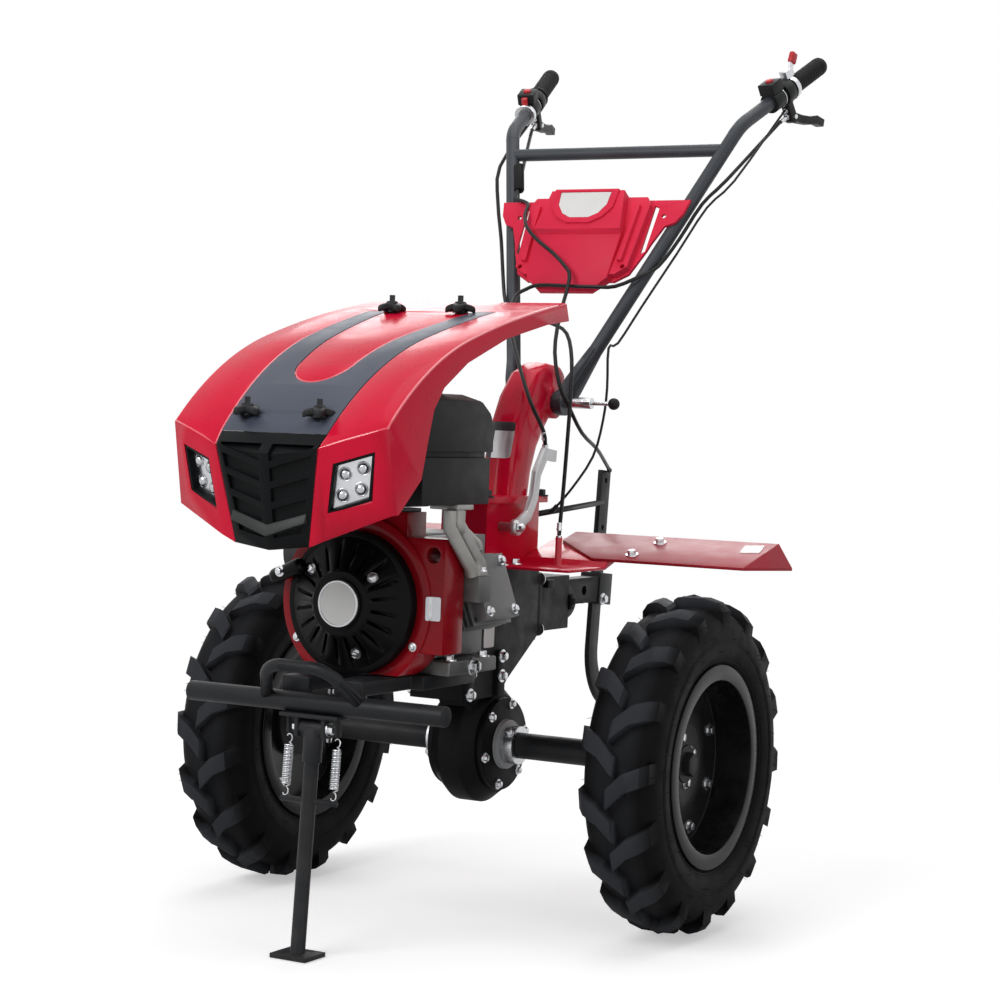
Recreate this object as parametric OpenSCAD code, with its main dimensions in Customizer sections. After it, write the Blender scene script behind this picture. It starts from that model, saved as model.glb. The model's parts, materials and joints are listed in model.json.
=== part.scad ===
// Power weeder: a walk-behind tiller on two lugged wheels with a front stand,
// a hooded engine, a gear case on the axle and a handlebar on a gooseneck column.
// Lengths are in millimetres. +Z is up, the front faces -Y, the ground is z = 0.

/* [Wheels] */
// Diameter of a wheel over its lug tips
wheel_d = 480; // [440:2:520]
// Width of a tyre
tyre_w = 112; // [96:2:124]
// Height of a tyre lug above the carcass
lug_h = 16; // [10:1:22]
// Number of lugs on each side of a tyre
lug_n = 16; // [12:1:18]
// Distance between the two wheel centres
track_w = 671; // [640:1:720]
// Diameter of the rim at the tyre's bead seat
rim_d = 254; // [240:1:266]
// Thickness of the rim's sheet
rim_t = 5; // [3:0.5:7]

/* [Axle] */
// Diameter of the black axle sleeve
sleeve_d = 38; // [34:1:46]
// Diameter of the output shaft inside the gear case
shaft_d = 32; // [26:1:38]
// Diameter of the zinc collar on the shaft
collar_d = 56; // [50:1:64]

/* [Gear case] */
// Radius of the round lower case
case_r = 88; // [80:1:92]
// Width of the gear case
case_w = 72; // [64:2:80]
// Height of the gear case's top face
case_top = 500; // [490:1:505]
// Length of the rear power take-off housing
pto_l = 140; // [124:1:150]

/* [Engine] */
// Height of the crankshaft
crank_z = 463; // [455:1:470]
// Radius of the fan shroud
shroud_r = 118; // [110:1:122]
// Radius of the recoil starter cover
recoil_r = 97; // [86:1:100]
// Width of the engine block
block_w = 196; // [180:2:210]

/* [Bonnet] */
// Width of the bonnet
bonnet_w = 330; // [316:2:350]
// Wall of the bonnet
bonnet_t = 3; // [2:0.5:4]
// Height of the bonnet's rear edge
bonnet_rear_z = 884; // [876:1:900]
// Gap between the bonnet's red shell and its black inlay
inlay_gap = 0.3; // [0.2:0.1:1]

/* [Front] */
// Diameter of the bumper bar
bumper_d = 27; // [22:1:34]
// Length of the bumper bar
bumper_l = 404; // [360:2:440]
// Diameter of the bumper hoop's rod
hoop_d = 17; // [12:1:20]
// Diameter of the stand's leg
leg_d = 20; // [16:1:24]

/* [Handlebar] */
// Diameter of the handlebar tube
handle_d = 22; // [20:1:26]
// Diameter of the crossbar
crossbar_d = 20; // [16:1:22]
// Diameter of a grip
grip_d = 30; // [28:1:36]
// Diameter of the clamp bolt
clamp_bolt_d = 12; // [10:1:15]

/* [Fenders] */
// Thickness of the fender sheet
fender_t = 4; // [2:0.5:5]
// Tilt of a fender, front edge down
fender_tilt = 15; // [10:1:18]

/* [Clearances] */
// Radial clearance of a shaft in its bore
run_clear = 0.05; // [0.02:0.01:0.09]
// Gap between rigid pieces that seat on curved faces
seat_gap = 0.3; // [0.2:0.1:0.5]

/* [Hidden] */
$fn = 64;

// Heights are drawn from the axle line, and the wheel lifts them all off the ground
axle_z = 240;
ground_z = axle_z - wheel_d / 2;
wheel_x = track_w / 2;

// Plain helpers
module bar(a, b, d) {
    v = b - a;
    l = norm(v);
    translate(a) rotate([0, acos(v.z / l), atan2(v.y, v.x)]) cylinder(h = l, d = d);
}
module x_rod(x0, x1, y, z, d) { translate([x0, y, z]) rotate([0, 90, 0]) cylinder(h = x1 - x0, d = d); }
module y_rod(y0, y1, x, z, d) { translate([x, y0, z]) rotate([-90, 0, 0]) cylinder(h = y1 - y0, d = d); }
module block(lo, hi) { translate(lo) cube(hi - lo); }
module both_sides() {
    children();
    mirror([1, 0, 0]) children();
}
// A side view outline, points [y, z], drawn out along x between two planes
module side_prism(points, x0, x1) {
    translate([x0, 0, 0]) rotate([90, 0, 90]) linear_extrude(x1 - x0) polygon(points);
}
// A front view outline, points [x, z], drawn out along y between two planes
module front_prism(points, y0, y1) {
    translate([0, y1, 0]) rotate([90, 0, 0]) linear_extrude(y1 - y0) polygon(points);
}
function unit(v) = v / norm(v);
function left_of(v) = [-v.y, v.x];
// Outline of a flat strip of even width along a list of points
function ribbon(p, w) = let (n = len(p), side = [for (i = [0 : n - 1])
    let (a = unit(p[max(i, 1)] - p[max(i, 1) - 1]), b = unit(p[min(i, n - 2) + 1] - p[min(i, n - 2)]))
    left_of(unit(a + b)) * (w / 2 / cos(acos(min(1, a * b)) / 2))])
    concat([for (i = [0 : n - 1]) p[i] + side[i]], [for (i = [n - 1 : -1 : 0]) p[i] - side[i]]);
// One arc of a bent tube: corner point, directions in and out, bend radius, tube diameter
module elbow(p, u, w, r, d) {
    turn = acos(u * w);
    m = unit(w - u * (u * w));
    c = p - u * r * tan(turn / 2) + m * r;
    n = cross(-m, u);
    multmatrix([[-m.x, u.x, n.x, c.x], [-m.y, u.y, n.y, c.y], [-m.z, u.z, n.z, c.z], [0, 0, 0, 1]])
        rotate_extrude(angle = turn) translate([r, 0]) circle(d = d);
}
// Round tube along a list of points, each corner bent with one radius and a hair swollen there
bend_lap = 1;
bend_swell = 0.3;
module bent_tube(p, d, r) {
    n = len(p);
    dir = [for (i = [0 : n - 2]) unit(p[i + 1] - p[i])];
    cut = [for (i = [0 : n - 1])
        i == 0 || i == n - 1 ? 0 : r * tan(acos(dir[i - 1] * dir[i]) / 2) - bend_lap];
    for (i = [0 : n - 2]) bar(p[i] + dir[i] * cut[i], p[i + 1] - dir[i] * cut[i + 1], d);
    for (i = [1 : n - 2]) elbow(p[i], dir[i - 1], dir[i], r, d + bend_swell);
}

// A closed skin over rings of points, all with the same count
module skin(rings) {
    n = len(rings);
    s = len(rings[0]);
    polyhedron([for (r = rings) each r], concat(
        [[for (k = [0 : s - 1]) k]],
        [for (i = [0 : n - 2], k = [0 : s - 1])
            [i * s + k, (i + 1) * s + k, (i + 1) * s + (k + 1) % s, i * s + (k + 1) % s]],
        [[for (k = [s - 1 : -1 : 0]) (n - 1) * s + k]]));
}

// Wheels, drawn about their own centre with the outer face towards +x
flange_r = rim_d / 2 + 17;
bead_x = tyre_w / 2 - 10;
carcass_r = wheel_d / 2 - lug_h;
module wheel_place(side) {
    translate([side * wheel_x, 0, axle_z]) mirror([side < 0 ? 1 : 0, 0, 0]) children();
}
// Tyre section, points [radius, x] of one half: bead, bulging wall, round shoulder, crown
shoulder_power = 0.72;
shoulder_steps = 6;
function tyre_half() = let (b = rim_d / 2 + seat_gap, m = tyre_w / 2, s = carcass_r - flange_r,
    belly = flange_r + s * 0.42)
    concat([[b, bead_x - seat_gap], [flange_r + 2, bead_x - seat_gap], [flange_r + 4, m - 7],
        [flange_r + s * 0.2, m - 2]],
        [for (i = [0 : shoulder_steps]) let (a = i * 90 / shoulder_steps)
            [belly + (carcass_r - belly) * pow(sin(a), shoulder_power), m * pow(cos(a), shoulder_power)]]);
lug_root_r = carcass_r - 36;
lug_wide = 27;
// Centreline of one lug, points [x, y], from past the crown to the shoulder
lug_line = [[-6, -25], [20, 0], [tyre_w / 2 - 2, 15]];
lug_reach = 30;
// Height of a lug over the tyre's width, points [x, height]: full at the crown, falling to the shoulder
function lug_rise(top) = let (m = tyre_w / 2) [[-9, lug_root_r], [-6, top - 4], [-2, top],
    [m - 30, top - 1], [m - 14, top - 7], [m - 4, top - 19], [m - 2, lug_root_r]];
module lug() {
    top = sqrt(pow(wheel_d / 2, 2) - pow(lug_reach + lug_wide / 4, 2));
    half = lug_wide / 2;
    outline = concat([for (q = lug_line) [q.x, q.y - half]],
        [for (i = [len(lug_line) - 1 : -1 : 0]) [lug_line[i].x, lug_line[i].y + half]]);
    intersection() {
        translate([0, 0, lug_root_r]) linear_extrude(top - lug_root_r) polygon(outline);
        front_prism(lug_rise(top), -wheel_d / 4, wheel_d / 4);
    }
}
module tyre() {
    half = tyre_half();
    outline = concat(half, [for (i = [len(half) - 2 : -1 : 0]) [half[i].x, -half[i].y]]);
    color("#1b1c1e") union() {
        rotate([0, 90, 0]) rotate_extrude() polygon(outline);
        for (i = [0 : lug_n - 1]) {
            rotate([i * 360 / lug_n, 0, 0]) lug();
            rotate([(i + 0.5) * 360 / lug_n, 0, 0]) mirror([1, 0, 0]) lug();
        }
    }
}
disc_x = -6;
hub_r = 52;
module rim() {
    r = rim_d / 2;
    lip = bead_x + rim_t;
    bore_r = sleeve_d / 2 + seat_gap;
    color("#141416") rotate([0, 90, 0]) rotate_extrude() polygon([
        [bore_r, disc_x - rim_t], [r - rim_t, disc_x - rim_t], [r - rim_t, -lip], [flange_r, -lip],
        [flange_r, -bead_x], [r, -bead_x], [r, bead_x], [flange_r, bead_x], [flange_r, lip],
        [r - rim_t, lip], [r - rim_t, disc_x], [bore_r, disc_x]]);
}
// Axle sleeve with its wheel flange and the shaft that runs in the gear case
cover_x = case_w / 2 + 18;
collar_w = 18;
flange_t = 8;
module axle() {
    disc_back = disc_x - rim_t;
    inner = cover_x - wheel_x;
    color("#17181a") union() {
        x_rod(inner + collar_w + 1, disc_x + 10, 0, 0, sleeve_d);
        x_rod(disc_back - flange_t, disc_back, 0, 0, hub_r * 2);
        x_rod(inner - cover_x + 6, inner + collar_w + 1, 0, 0, shaft_d);
    }
}
module collar() {
    inner = cover_x - wheel_x;
    color("silver") difference() {
        x_rod(inner + 1, inner + collar_w + 0.7, 0, 0, collar_d);
        x_rod(inner, inner + collar_w + 2, 0, 0, shaft_d + 2 * seat_gap);
    }
}

// Gear case: round at the axle, a throat, a neck that leans forward, a step back to the power take-off
neck_front = -120;
neck_half = 42;
neck_low = 312;
case_rear = 95;
step_z = 393;
neck_profile = [[neck_front, neck_low], [neck_front, case_top], [case_rear, case_top],
    [case_rear, step_z], [7, 334], [-16, neck_low]];
throat_half = 26;
throat_profile = [[-60, axle_z], [-66, 298], [-86, neck_low + 8], [-18, neck_low + 8], [8, 300],
    [10, axle_z]];
crown_half = 16;
case_fall = 16;
// Bolting strips on the neck's flanks, at these y
strip_y = [-109, -18];
strip_w = 20;
strip_t = 5;
strip_top = 380;
module gearbox_case() {
    half = case_w / 2;
    color("#1d1e20") difference() {
        union() {
            side_prism(neck_profile, -neck_half, neck_half);
            side_prism(throat_profile, -throat_half, throat_half);
            x_rod(-crown_half, crown_half, 0, axle_z, case_r * 2);
            both_sides() translate([crown_half, 0, axle_z]) rotate([0, 90, 0])
                cylinder(h = half - crown_half, r1 = case_r, r2 = case_r - case_fall);
            for (y = strip_y) block([-neck_half - strip_t, y - strip_w / 2, neck_low],
                [neck_half + strip_t, y + strip_w / 2, strip_top]);
        }
        x_rod(-half - 1, half + 1, 0, axle_z, shaft_d + 2 * run_clear);
    }
}
cover_r = 68;
cover_t = 10;
seal_r = 36;
module axle_covers() {
    color("#222325") both_sides() difference() {
        union() {
            x_rod(case_w / 2, case_w / 2 + cover_t, 0, axle_z, cover_r * 2);
            x_rod(case_w / 2 + cover_t, cover_x, 0, axle_z, seal_r * 2);
        }
        x_rod(case_w / 2 - 1, cover_x + 1, 0, axle_z, shaft_d + 2 * run_clear + 1);
    }
}
pto_z = 437;
pto_half = 30;
pto_rear = case_rear + pto_l;
pto_flange = 12;
pto_boss = 18;
module pto_housing() {
    color("#1d1e20") union() {
        block([-neck_half, case_rear, pto_z - 44], [neck_half, case_rear + pto_flange, pto_z + 50]);
        block([-pto_half, case_rear + pto_flange, pto_z - 40], [pto_half, pto_rear - pto_boss, pto_z + 42]);
        y_rod(pto_rear - pto_boss, pto_rear, 0, pto_z, pto_half * 2 + 6);
        translate([0, case_rear + pto_l * 0.4, pto_z - 56]) cylinder(h = 18, d = 16);
        block([-pto_half - 7, case_rear + 40, pto_z + 26], [pto_half + 7, case_rear + 62, pto_z + 38]);
    }
}
// Hitch: a tongue with a cross bore, and a square collar that holds the depth bar
hitch_half = 15;
hitch_y = 366;
hitch_z = 450;
hitch_pin_d = 16;
hitch_pin_y = 297;
collar_wall = 6;
bar_t = 8;
bar_w = 30;
bar_lean = 5;
module at_bar() {
    translate([0, hitch_y, hitch_z]) rotate([-bar_lean, 0, 0])
        translate([0, -hitch_y, -hitch_z]) children();
}
module hitch_bracket() {
    half_w = bar_w / 2 + seat_gap;
    color("#19191b") difference() {
        union() {
            block([-hitch_half, pto_rear, hitch_z - 20], [hitch_half, hitch_y, hitch_z + 20]);
            at_bar() block([-hitch_half - 3, hitch_y - half_w - collar_wall, hitch_z - 25],
                [hitch_half + 3, hitch_y + half_w + collar_wall, hitch_z + 25]);
        }
        at_bar() block([-bar_t / 2 - seat_gap, hitch_y - half_w, hitch_z - 40],
            [bar_t / 2 + seat_gap, hitch_y + half_w, hitch_z + 40]);
        x_rod(-60, 60, hitch_pin_y, hitch_z, hitch_pin_d);
    }
}
bar_top = 640;
bar_low = 356;
bar_hook_r = 70;
hole_d = 9;
hole_pitch = 38;
stay_z = 580;
stay_d = 9;
module depth_bar() {
    stay_y = hitch_y + (stay_z + 8 - hitch_z) * tan(bar_lean);
    color("#151517") union() {
        at_bar() difference() {
            union() {
                block([-bar_t / 2, hitch_y - bar_w / 2, bar_low],
                    [bar_t / 2, hitch_y + bar_w / 2, bar_top]);
                translate([-bar_t / 2, hitch_y + bar_w / 2 + bar_hook_r, bar_low]) rotate([90, 0, 90])
                    linear_extrude(bar_t) intersection() {
                        difference() {
                            circle(r = bar_hook_r + bar_w);
                            circle(r = bar_hook_r);
                        }
                        translate([-bar_hook_r - bar_w, -bar_hook_r - bar_w])
                            square([bar_hook_r + bar_w, bar_hook_r + bar_w]);
                    }
            }
            for (z = [hitch_z + 60 : hole_pitch : bar_top - 12])
                if (abs(z - stay_z - 8) > hole_d + stay_d) x_rod(-bar_t, bar_t, hitch_y, z, hole_d);
        }
        bar([foot_half - 4, foot_rear + 1.2, stay_z - 4], [0, stay_y, stay_z + 8], stay_d);
    }
}

// Engine: crankshaft along y, recoil starter in front, cylinder leaning to +x
bed_top = 366;
bed_low = 346;
block_front = -290;
block_rear = -150;
bumper_y = -436;
bumper_z = 334;
rail_in = 20;
rail_out = 64;
bed_half = 84;
module engine_bed() {
    front = bumper_y + bumper_d / 2 + seat_gap;
    color("#18181a") union() {
        both_sides() block([rail_in, front, bed_low], [rail_out, neck_front, bed_top]);
        block([-bed_half, block_front - 10, bed_low], [bed_half, block_rear - 10, bed_top]);
        both_sides() block([rail_in, front, bumper_z - 8], [rail_out, front + 12, bed_low]);
    }
}
module engine_block() {
    half = block_w / 2;
    color("#8d9093") union() {
        block([-half - 8, block_front + 10, bed_top], [half + 14, block_rear, bed_top + 20]);
        block([-half, block_front, bed_top + 20], [half - 30, block_rear, crank_z + 95]);
        y_rod(block_rear, block_rear + 12, 0, crank_z, 120);
    }
}
head_lean = 20;
port_lo = [112, block_front + 2, 470];
port_hi = [158, block_front + 26, 505];
fin_n = 5;
fin_pitch = 8;
fin_t = 3.5;
module cylinder_head() {
    x0 = block_w / 2 - 30;
    root = x0 + 22;
    deep = fin_n * fin_pitch;
    color("#6d7073") union() {
        block([x0, block_front + 8, bed_top + 24], [root, block_rear - 6, crank_z + 92]);
        translate([root, 0, crank_z + 4]) rotate([0, -head_lean, 0]) union() {
            block([-3, block_front + 34, -34], [deep, block_rear - 22, 42]);
            for (i = [0 : fin_n - 1])
                block([i * fin_pitch, block_front + 28, -46], [i * fin_pitch + fin_t, block_rear - 10, 54]);
            block([deep - 1, block_front + 32, -42], [deep + 16, block_rear - 20, 48]);
        }
        block(port_lo, port_hi + [0, 10, 0]);
    }
}
module clutch_housing() {
    color("#222325") union() {
        y_rod(block_rear + 12, neck_front - 8, 0, crank_z - 20, 130);
        block([-62, neck_front - 8, crank_z - 90], [62, neck_front, case_top - 2]);
    }
}
shroud_front = -345;
pad_z = 588;
module fan_shroud() {
    color("#b3141f") difference() {
        union() {
            y_rod(shroud_front, block_front, 0, crank_z, shroud_r * 2);
            block([0, shroud_front + 4, crank_z - 62], [136, block_front, crank_z + 92]);
            block([-74, shroud_front + 6, crank_z], [74, block_front, pad_z]);
        }
        y_rod(shroud_front - 1, shroud_front + 30, 0, crank_z, recoil_r * 2 + 2 * seat_gap);
        y_rod(shroud_front, block_front + 1, 118, crank_z + 70, 22);
        block([-shroud_r, shroud_front - 1, bed_low - 10], [shroud_r, block_front + 1, bed_top + 2]);
    }
}
recoil_front = -388;
emblem_r = 31;
cone_l = 22;
vent_n = 20;
vent_w = 5;
module recoil_starter() {
    cone = shroud_front - 16;
    color("#151517") difference() {
        union() {
            y_rod(cone, shroud_front + 30, 0, crank_z, recoil_r * 2);
            translate([0, cone, crank_z]) rotate([90, 0, 0])
                cylinder(h = cone_l, r1 = recoil_r - 8, r2 = emblem_r + 12);
            y_rod(recoil_front, cone - cone_l, 0, crank_z, emblem_r * 2 + 6);
        }
        for (i = [0 : vent_n - 1]) translate([0, 0, crank_z]) rotate([0, (i + 0.5) * 360 / vent_n, 0])
            block([emblem_r + 16, cone - 30, -vent_w / 2], [recoil_r - 16, cone - 2, vent_w / 2]);
    }
}
cleaner_lo = [74, -432, 602];
cleaner_hi = [156, -258, 748];
module air_cleaner() {
    lo = cleaner_lo;
    hi = cleaner_hi;
    seam = lo.z + 66;
    color("#1f2022") union() {
        block(lo, [hi.x - 4, hi.y, seam - 4]);
        block(lo + [4, 4, seam - 5 - lo.z], [hi.x - 10, hi.y - 4, seam + 5]);
        intersection() {
            side_prism([[lo.y, seam + 4], [hi.y, seam + 4], [hi.y, hi.z - 52], [hi.y - 5, hi.z - 30],
                [hi.y - 20, hi.z - 10], [hi.y - 46, hi.z], [lo.y + 28, hi.z], [lo.y + 10, hi.z - 8],
                [lo.y, hi.z - 26]], lo.x, hi.x);
            front_prism([[lo.x, seam], [hi.x, seam], [hi.x, hi.z - 24], [hi.x - 7, hi.z - 8],
                [hi.x - 24, hi.z], [lo.x + 24, hi.z], [lo.x + 7, hi.z - 8], [lo.x, hi.z - 24]],
                lo.y - 1, hi.y + 1);
        }
    }
}
// Two inlet pipes from the air cleaner's foot to the port: x and y at the top, diameter, drop and fall
pipe_flange = 7;
pipe_inset = 12;
pipe_bend = 9;
inlet_y = [-346, -304];
inlet_rows = [[port_hi.x - pipe_inset, -330, 17, 22, 28], [port_lo.x + pipe_inset, -320, 13, 12, 18]];
module inlet_pipe(x, y, d, drop, fall) {
    low_y = (port_lo.y + port_hi.y) / 2;
    top = cleaner_lo.z - pipe_flange + 1;
    bent_tube([[x, y, top], [x, y, top - drop], [x, low_y, top - drop - fall],
        [x, low_y, port_hi.z + pipe_flange - 1]], d, pipe_bend);
}
module intake() {
    color("#9fa2a4") union() {
        block([port_lo.x, inlet_y[0], cleaner_lo.z - pipe_flange],
            [port_hi.x - 2, inlet_y[1], cleaner_lo.z]);
        for (r = inlet_rows) inlet_pipe(r[0], r[1], r[2], r[3], r[4]);
        block([port_lo.x, port_lo.y, port_hi.z], [port_hi.x, port_hi.y, port_hi.z + pipe_flange]);
    }
}
tank_lo = [-128, -440, pad_z + 5];
tank_hi = [66, -215, 692];
tank_inset = 14;
tank_step = 20;
tank_depth = 80;
module fuel_tank() {
    color("#1b1c1e") union() {
        block(tank_lo + [tank_inset, tank_inset, 0], tank_hi - [tank_inset, tank_inset, tank_depth]);
        block([tank_lo.x, tank_lo.y, tank_lo.z + tank_step], tank_hi);
    }
}
// Muffler on the engine's left: its end in x, its middle [y, z], its port
muffler_out = 178;
muffler_at = [-220, 520];
muffler_d = 84;
port_l = 14;
port_d = 34;
module muffler() {
    color("#3a3b3d") union() {
        x_rod(-muffler_out, -block_w / 2 - port_l, muffler_at[0], muffler_at[1], muffler_d);
        x_rod(-block_w / 2 - port_l, -block_w / 2, muffler_at[0], muffler_at[1], port_d);
    }
}

// Bumper, hoop and stand bracket
module bumper_bar() {
    color("#232426") x_rod(-bumper_l / 2, bumper_l / 2, bumper_y, bumper_z, bumper_d);
}
hoop_half = 77;
hoop_lean = 47;
hoop_rise = 52;
hoop_bend = 38;
module hoop_path() {
    foot = [hoop_half, bumper_y, bumper_z];
    top = [hoop_half - 30, bumper_y - hoop_lean, bumper_z + hoop_rise];
    bent_tube([foot, top, [-top.x, top.y, top.z], [-foot.x, foot.y, foot.z]], hoop_d, hoop_bend);
}
module bumper_hoop() {
    color("#232426") difference() {
        hoop_path();
        x_rod(-hoop_half - 40, hoop_half + 40, bumper_y, bumper_z, bumper_d + 2 * seat_gap);
        block([-hoop_half - 40, bumper_y - bumper_d / 2, bumper_z - 40],
            [hoop_half + 40, bumper_y + bumper_d, bumper_z]);
    }
}
stand_z = 301;
pin_d = 10;
ear_in = 18;
ear_t = 6;
spring_x = 38;
spring_top = 292;
module stand_bracket() {
    plate = bumper_z - bumper_d / 2 - seat_gap;
    color("#19191b") union() {
        block([-46, bumper_y - 16, plate - 5], [46, bumper_y + 16, plate]);
        both_sides() block([ear_in, bumper_y - 12, stand_z - 12],
            [ear_in + ear_t, bumper_y + 12, plate - 5]);
        x_rod(-ear_in, ear_in, bumper_y, stand_z, pin_d);
        both_sides() block([spring_x - 2, bumper_y - 6, spring_top],
            [spring_x + 2, bumper_y + 6, plate - 5]);
    }
}
foot_y = -458;
foot_t = 6;
foot_z = ground_z + foot_t;
cross_z = 205;
module stand_leg() {
    lean = (foot_y - bumper_y) / (stand_z - foot_z);
    socket = stand_z - 45;
    cross_y = bumper_y + lean * (stand_z - cross_z);
    color("#19191b") difference() {
        union() {
            x_rod(-ear_in + 0.5, ear_in - 0.5, bumper_y, stand_z, 22);
            bar([0, bumper_y, stand_z], [0, bumper_y + lean * (stand_z - socket), socket], leg_d + 6);
            bar([0, bumper_y, stand_z], [0, foot_y, foot_z - 2], leg_d);
            block([-28, foot_y - 24, ground_z], [28, foot_y + 24, foot_z]);
            x_rod(-spring_x - 6, spring_x + 6, cross_y, cross_z, 8);
        }
        x_rod(-ear_in - 1, ear_in + 1, bumper_y, stand_z, pin_d + 2 * run_clear);
    }
}
spring_d = 12;
coil_n = 10;
module stand_springs() {
    lean = (foot_y - bumper_y) / (stand_z - foot_z);
    low_y = bumper_y + lean * (stand_z - cross_z);
    a = [spring_x, bumper_y, spring_top - 0.5];
    b = [spring_x, low_y, cross_z + 4 + seat_gap];
    pitch = norm(b - a) / coil_n;
    waist = spring_d / 2 - 1.5;
    color("silver") both_sides() translate(b) rotate([-atan2(a.y - b.y, a.z - b.z), 0, 0])
        rotate_extrude() polygon(concat([[0, 0]],
            [for (i = [0 : coil_n - 1], s = [0, 1]) [s == 0 ? waist : spring_d / 2, (i + s * 0.5) * pitch]],
            [[waist, coil_n * pitch], [0, coil_n * pitch]]));
}

// Bonnet: one moulded shell, cut from a side, a plan and a front outline
bonnet_rear = -70;
knob_front_y = -531;
knob_rear_y = -188;
arc_low = 9;
arc_mid = 17;
rear_r = 1985;
nose_r = 482;
mid_y = bonnet_rear - rear_r * (sin(arc_mid) - sin(arc_low));
mid_z = bonnet_rear_z - rear_r * (cos(arc_low) - cos(arc_mid));
nose_lean = 10;
nose_mid = -571;
// Height of the grille's upper edge, below the skin at the front knobs
grille_drop = 20;
grille_top = skin_z(knob_front_y) - grille_drop;
// Everything under the bonnet's top curve, drawn in by t
module bonnet_side(t) {
    w = bonnet_w;
    rear_c = [bonnet_rear + rear_r * sin(arc_low), bonnet_rear_z - rear_r * cos(arc_low)];
    nose_c = [mid_y + nose_r * sin(arc_mid), mid_z - nose_r * cos(arc_mid)];
    translate([-w, 0, 0]) rotate([90, 0, 90]) linear_extrude(2 * w) union() {
        intersection() {
            translate(rear_c) circle(r = rear_r - t, $fn = 360);
            translate([mid_y, 400]) square([bonnet_rear - mid_y - (t > 0 ? -60 : 0), 600]);
        }
        intersection() {
            translate(nose_c) circle(r = nose_r - t, $fn = 180);
            translate([mid_y - 320, 400]) square([320.01, 600]);
        }
    }
}
// Plan outline with swept front corners, leaning back towards the bottom, drawn in by t
nose_half = 80;
nose_point = 10;
nose_sweep = 30;
module in_nose_plane() {
    translate([0, nose_mid + 2, grille_top]) rotate([nose_lean, 0, 0]) children();
}
module bonnet_plan(t) {
    half = bonnet_w / 2 - t;
    back = t > 0 ? 80 : 0;
    in_nose_plane() translate([0, 0, -260]) linear_extrude(600)
        polygon([[0, -nose_point + t], [nose_half, t], [half, nose_sweep + t], [half, 700 + back],
            [-half, 700 + back], [-half, nose_sweep + t], [-nose_half, t]]);
}
// Front outline: shoulders at the top, a keel at the bottom, drawn in by t
module bonnet_front(t) {
    half = bonnet_w / 2 - t;
    low = t > 0 ? 60 : 0;
    front_prism([[0, 540 - low], [58, 547 - low], [half, 592 - low], [half, 860], [half - 14, 930],
        [-half + 14, 930], [-half, 860], [-half, 592 - low], [-58, 547 - low]], nose_y, 60);
}
module bonnet_form(t) {
    intersection() {
        bonnet_side(t);
        bonnet_plan(t);
        bonnet_front(t);
    }
}
// Side wall's lower edge, points [y, z]: deep at the nose, shallow at the tail
side_edge = [[-508, 480], [-508, 592], [-456, 636], [-441, 690], [-430, 726], [-406, 755], [-348, 789],
    [-244, 826], [-132, 850], [-40, 862], [-40, 480]];
module bonnet_wall() {
    difference() {
        bonnet_form(0);
        bonnet_form(bonnet_t);
        side_prism(side_edge, -bonnet_w, bonnet_w);
    }
}
// Black inlay seen from above: a broad band that splits around a red tongue, cut up past the crown
bonnet_reach = 300;
band_front = 81;
band_rear = 104;
band_tail = -173;
tongue_front = -474;
tongue_half = 44;
tongue_rear = 72;
module band_outline(g) {
    difference() {
        polygon([[-band_front - g, -640], [band_front + g, -640], [band_front + g, nose_mid + 20],
            [band_rear + g, band_tail + g], [-band_rear - g, band_tail + g],
            [-band_front - g, nose_mid + 20]]);
        translate([0, tongue_front + tongue_half]) circle(r = tongue_half - g);
        polygon([[-tongue_half + g, tongue_front + tongue_half],
            [tongue_half - g, tongue_front + tongue_half], [tongue_rear - g, band_tail],
            [tongue_rear - g, 0], [-tongue_rear + g, 0], [-tongue_rear + g, band_tail]]);
    }
}
grille_low_half = 57;
grille_low = 548;
// An outline of the grille, grown by g, over the bonnet's whole front
module grille_outline(g) {
    front_prism([[-grille_low_half - g, grille_low - 48], [grille_low_half + g, grille_low - 48],
        [grille_low_half + g, grille_low], [band_front + g, grille_top], [-band_front - g, grille_top],
        [-grille_low_half - g, grille_low]], nose_mid - 70, nose_mid + 70);
}
module inlay_space(g) {
    translate([0, 0, grille_top]) linear_extrude(bonnet_reach) band_outline(g);
    grille_outline(g);
}
// Lamp on the right of the front, in the plane of its wall: corners [across, up]
lamp_reach = [-30, 40];
lamp_quad = [[5, -103], [17, -38], [72, -24], [63, -86]];
function middle(q) = (q[0] + q[1] + q[2] + q[3]) / 4;
function spread(q, by) = [for (p = q) p + unit(p - middle(q)) * by];
function in_quad(q, a, b) =
    (1 - a) * ((1 - b) * q[0] + b * q[1]) + a * ((1 - b) * q[3] + b * q[2]);
module at_lamp() {
    turn = atan2(nose_sweep, bonnet_w / 2 - nose_half);
    in_nose_plane() translate([nose_half, 0, 0]) rotate([0, 0, turn]) children();
}
module lamp_space(by) { at_lamp() front_prism(spread(lamp_quad, by), lamp_reach[0], lamp_reach[1]); }
module bonnet_shell() {
    color("#c8102e") difference() {
        bonnet_wall();
        inlay_space(inlay_gap / 2);
        both_sides() lamp_space(inlay_gap);
        stud_holes();
    }
}
module bonnet_panel() {
    color("#3a3d44") difference() {
        intersection() {
            bonnet_wall();
            translate([0, 0, grille_top + inlay_gap]) linear_extrude(bonnet_reach)
                band_outline(-inlay_gap / 2);
        }
        stud_holes();
    }
}
slat_n = 4;
slat_pitch = 26;
grille_rim = 9;
grille_sink = 6;
slat_w = 9;
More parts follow.
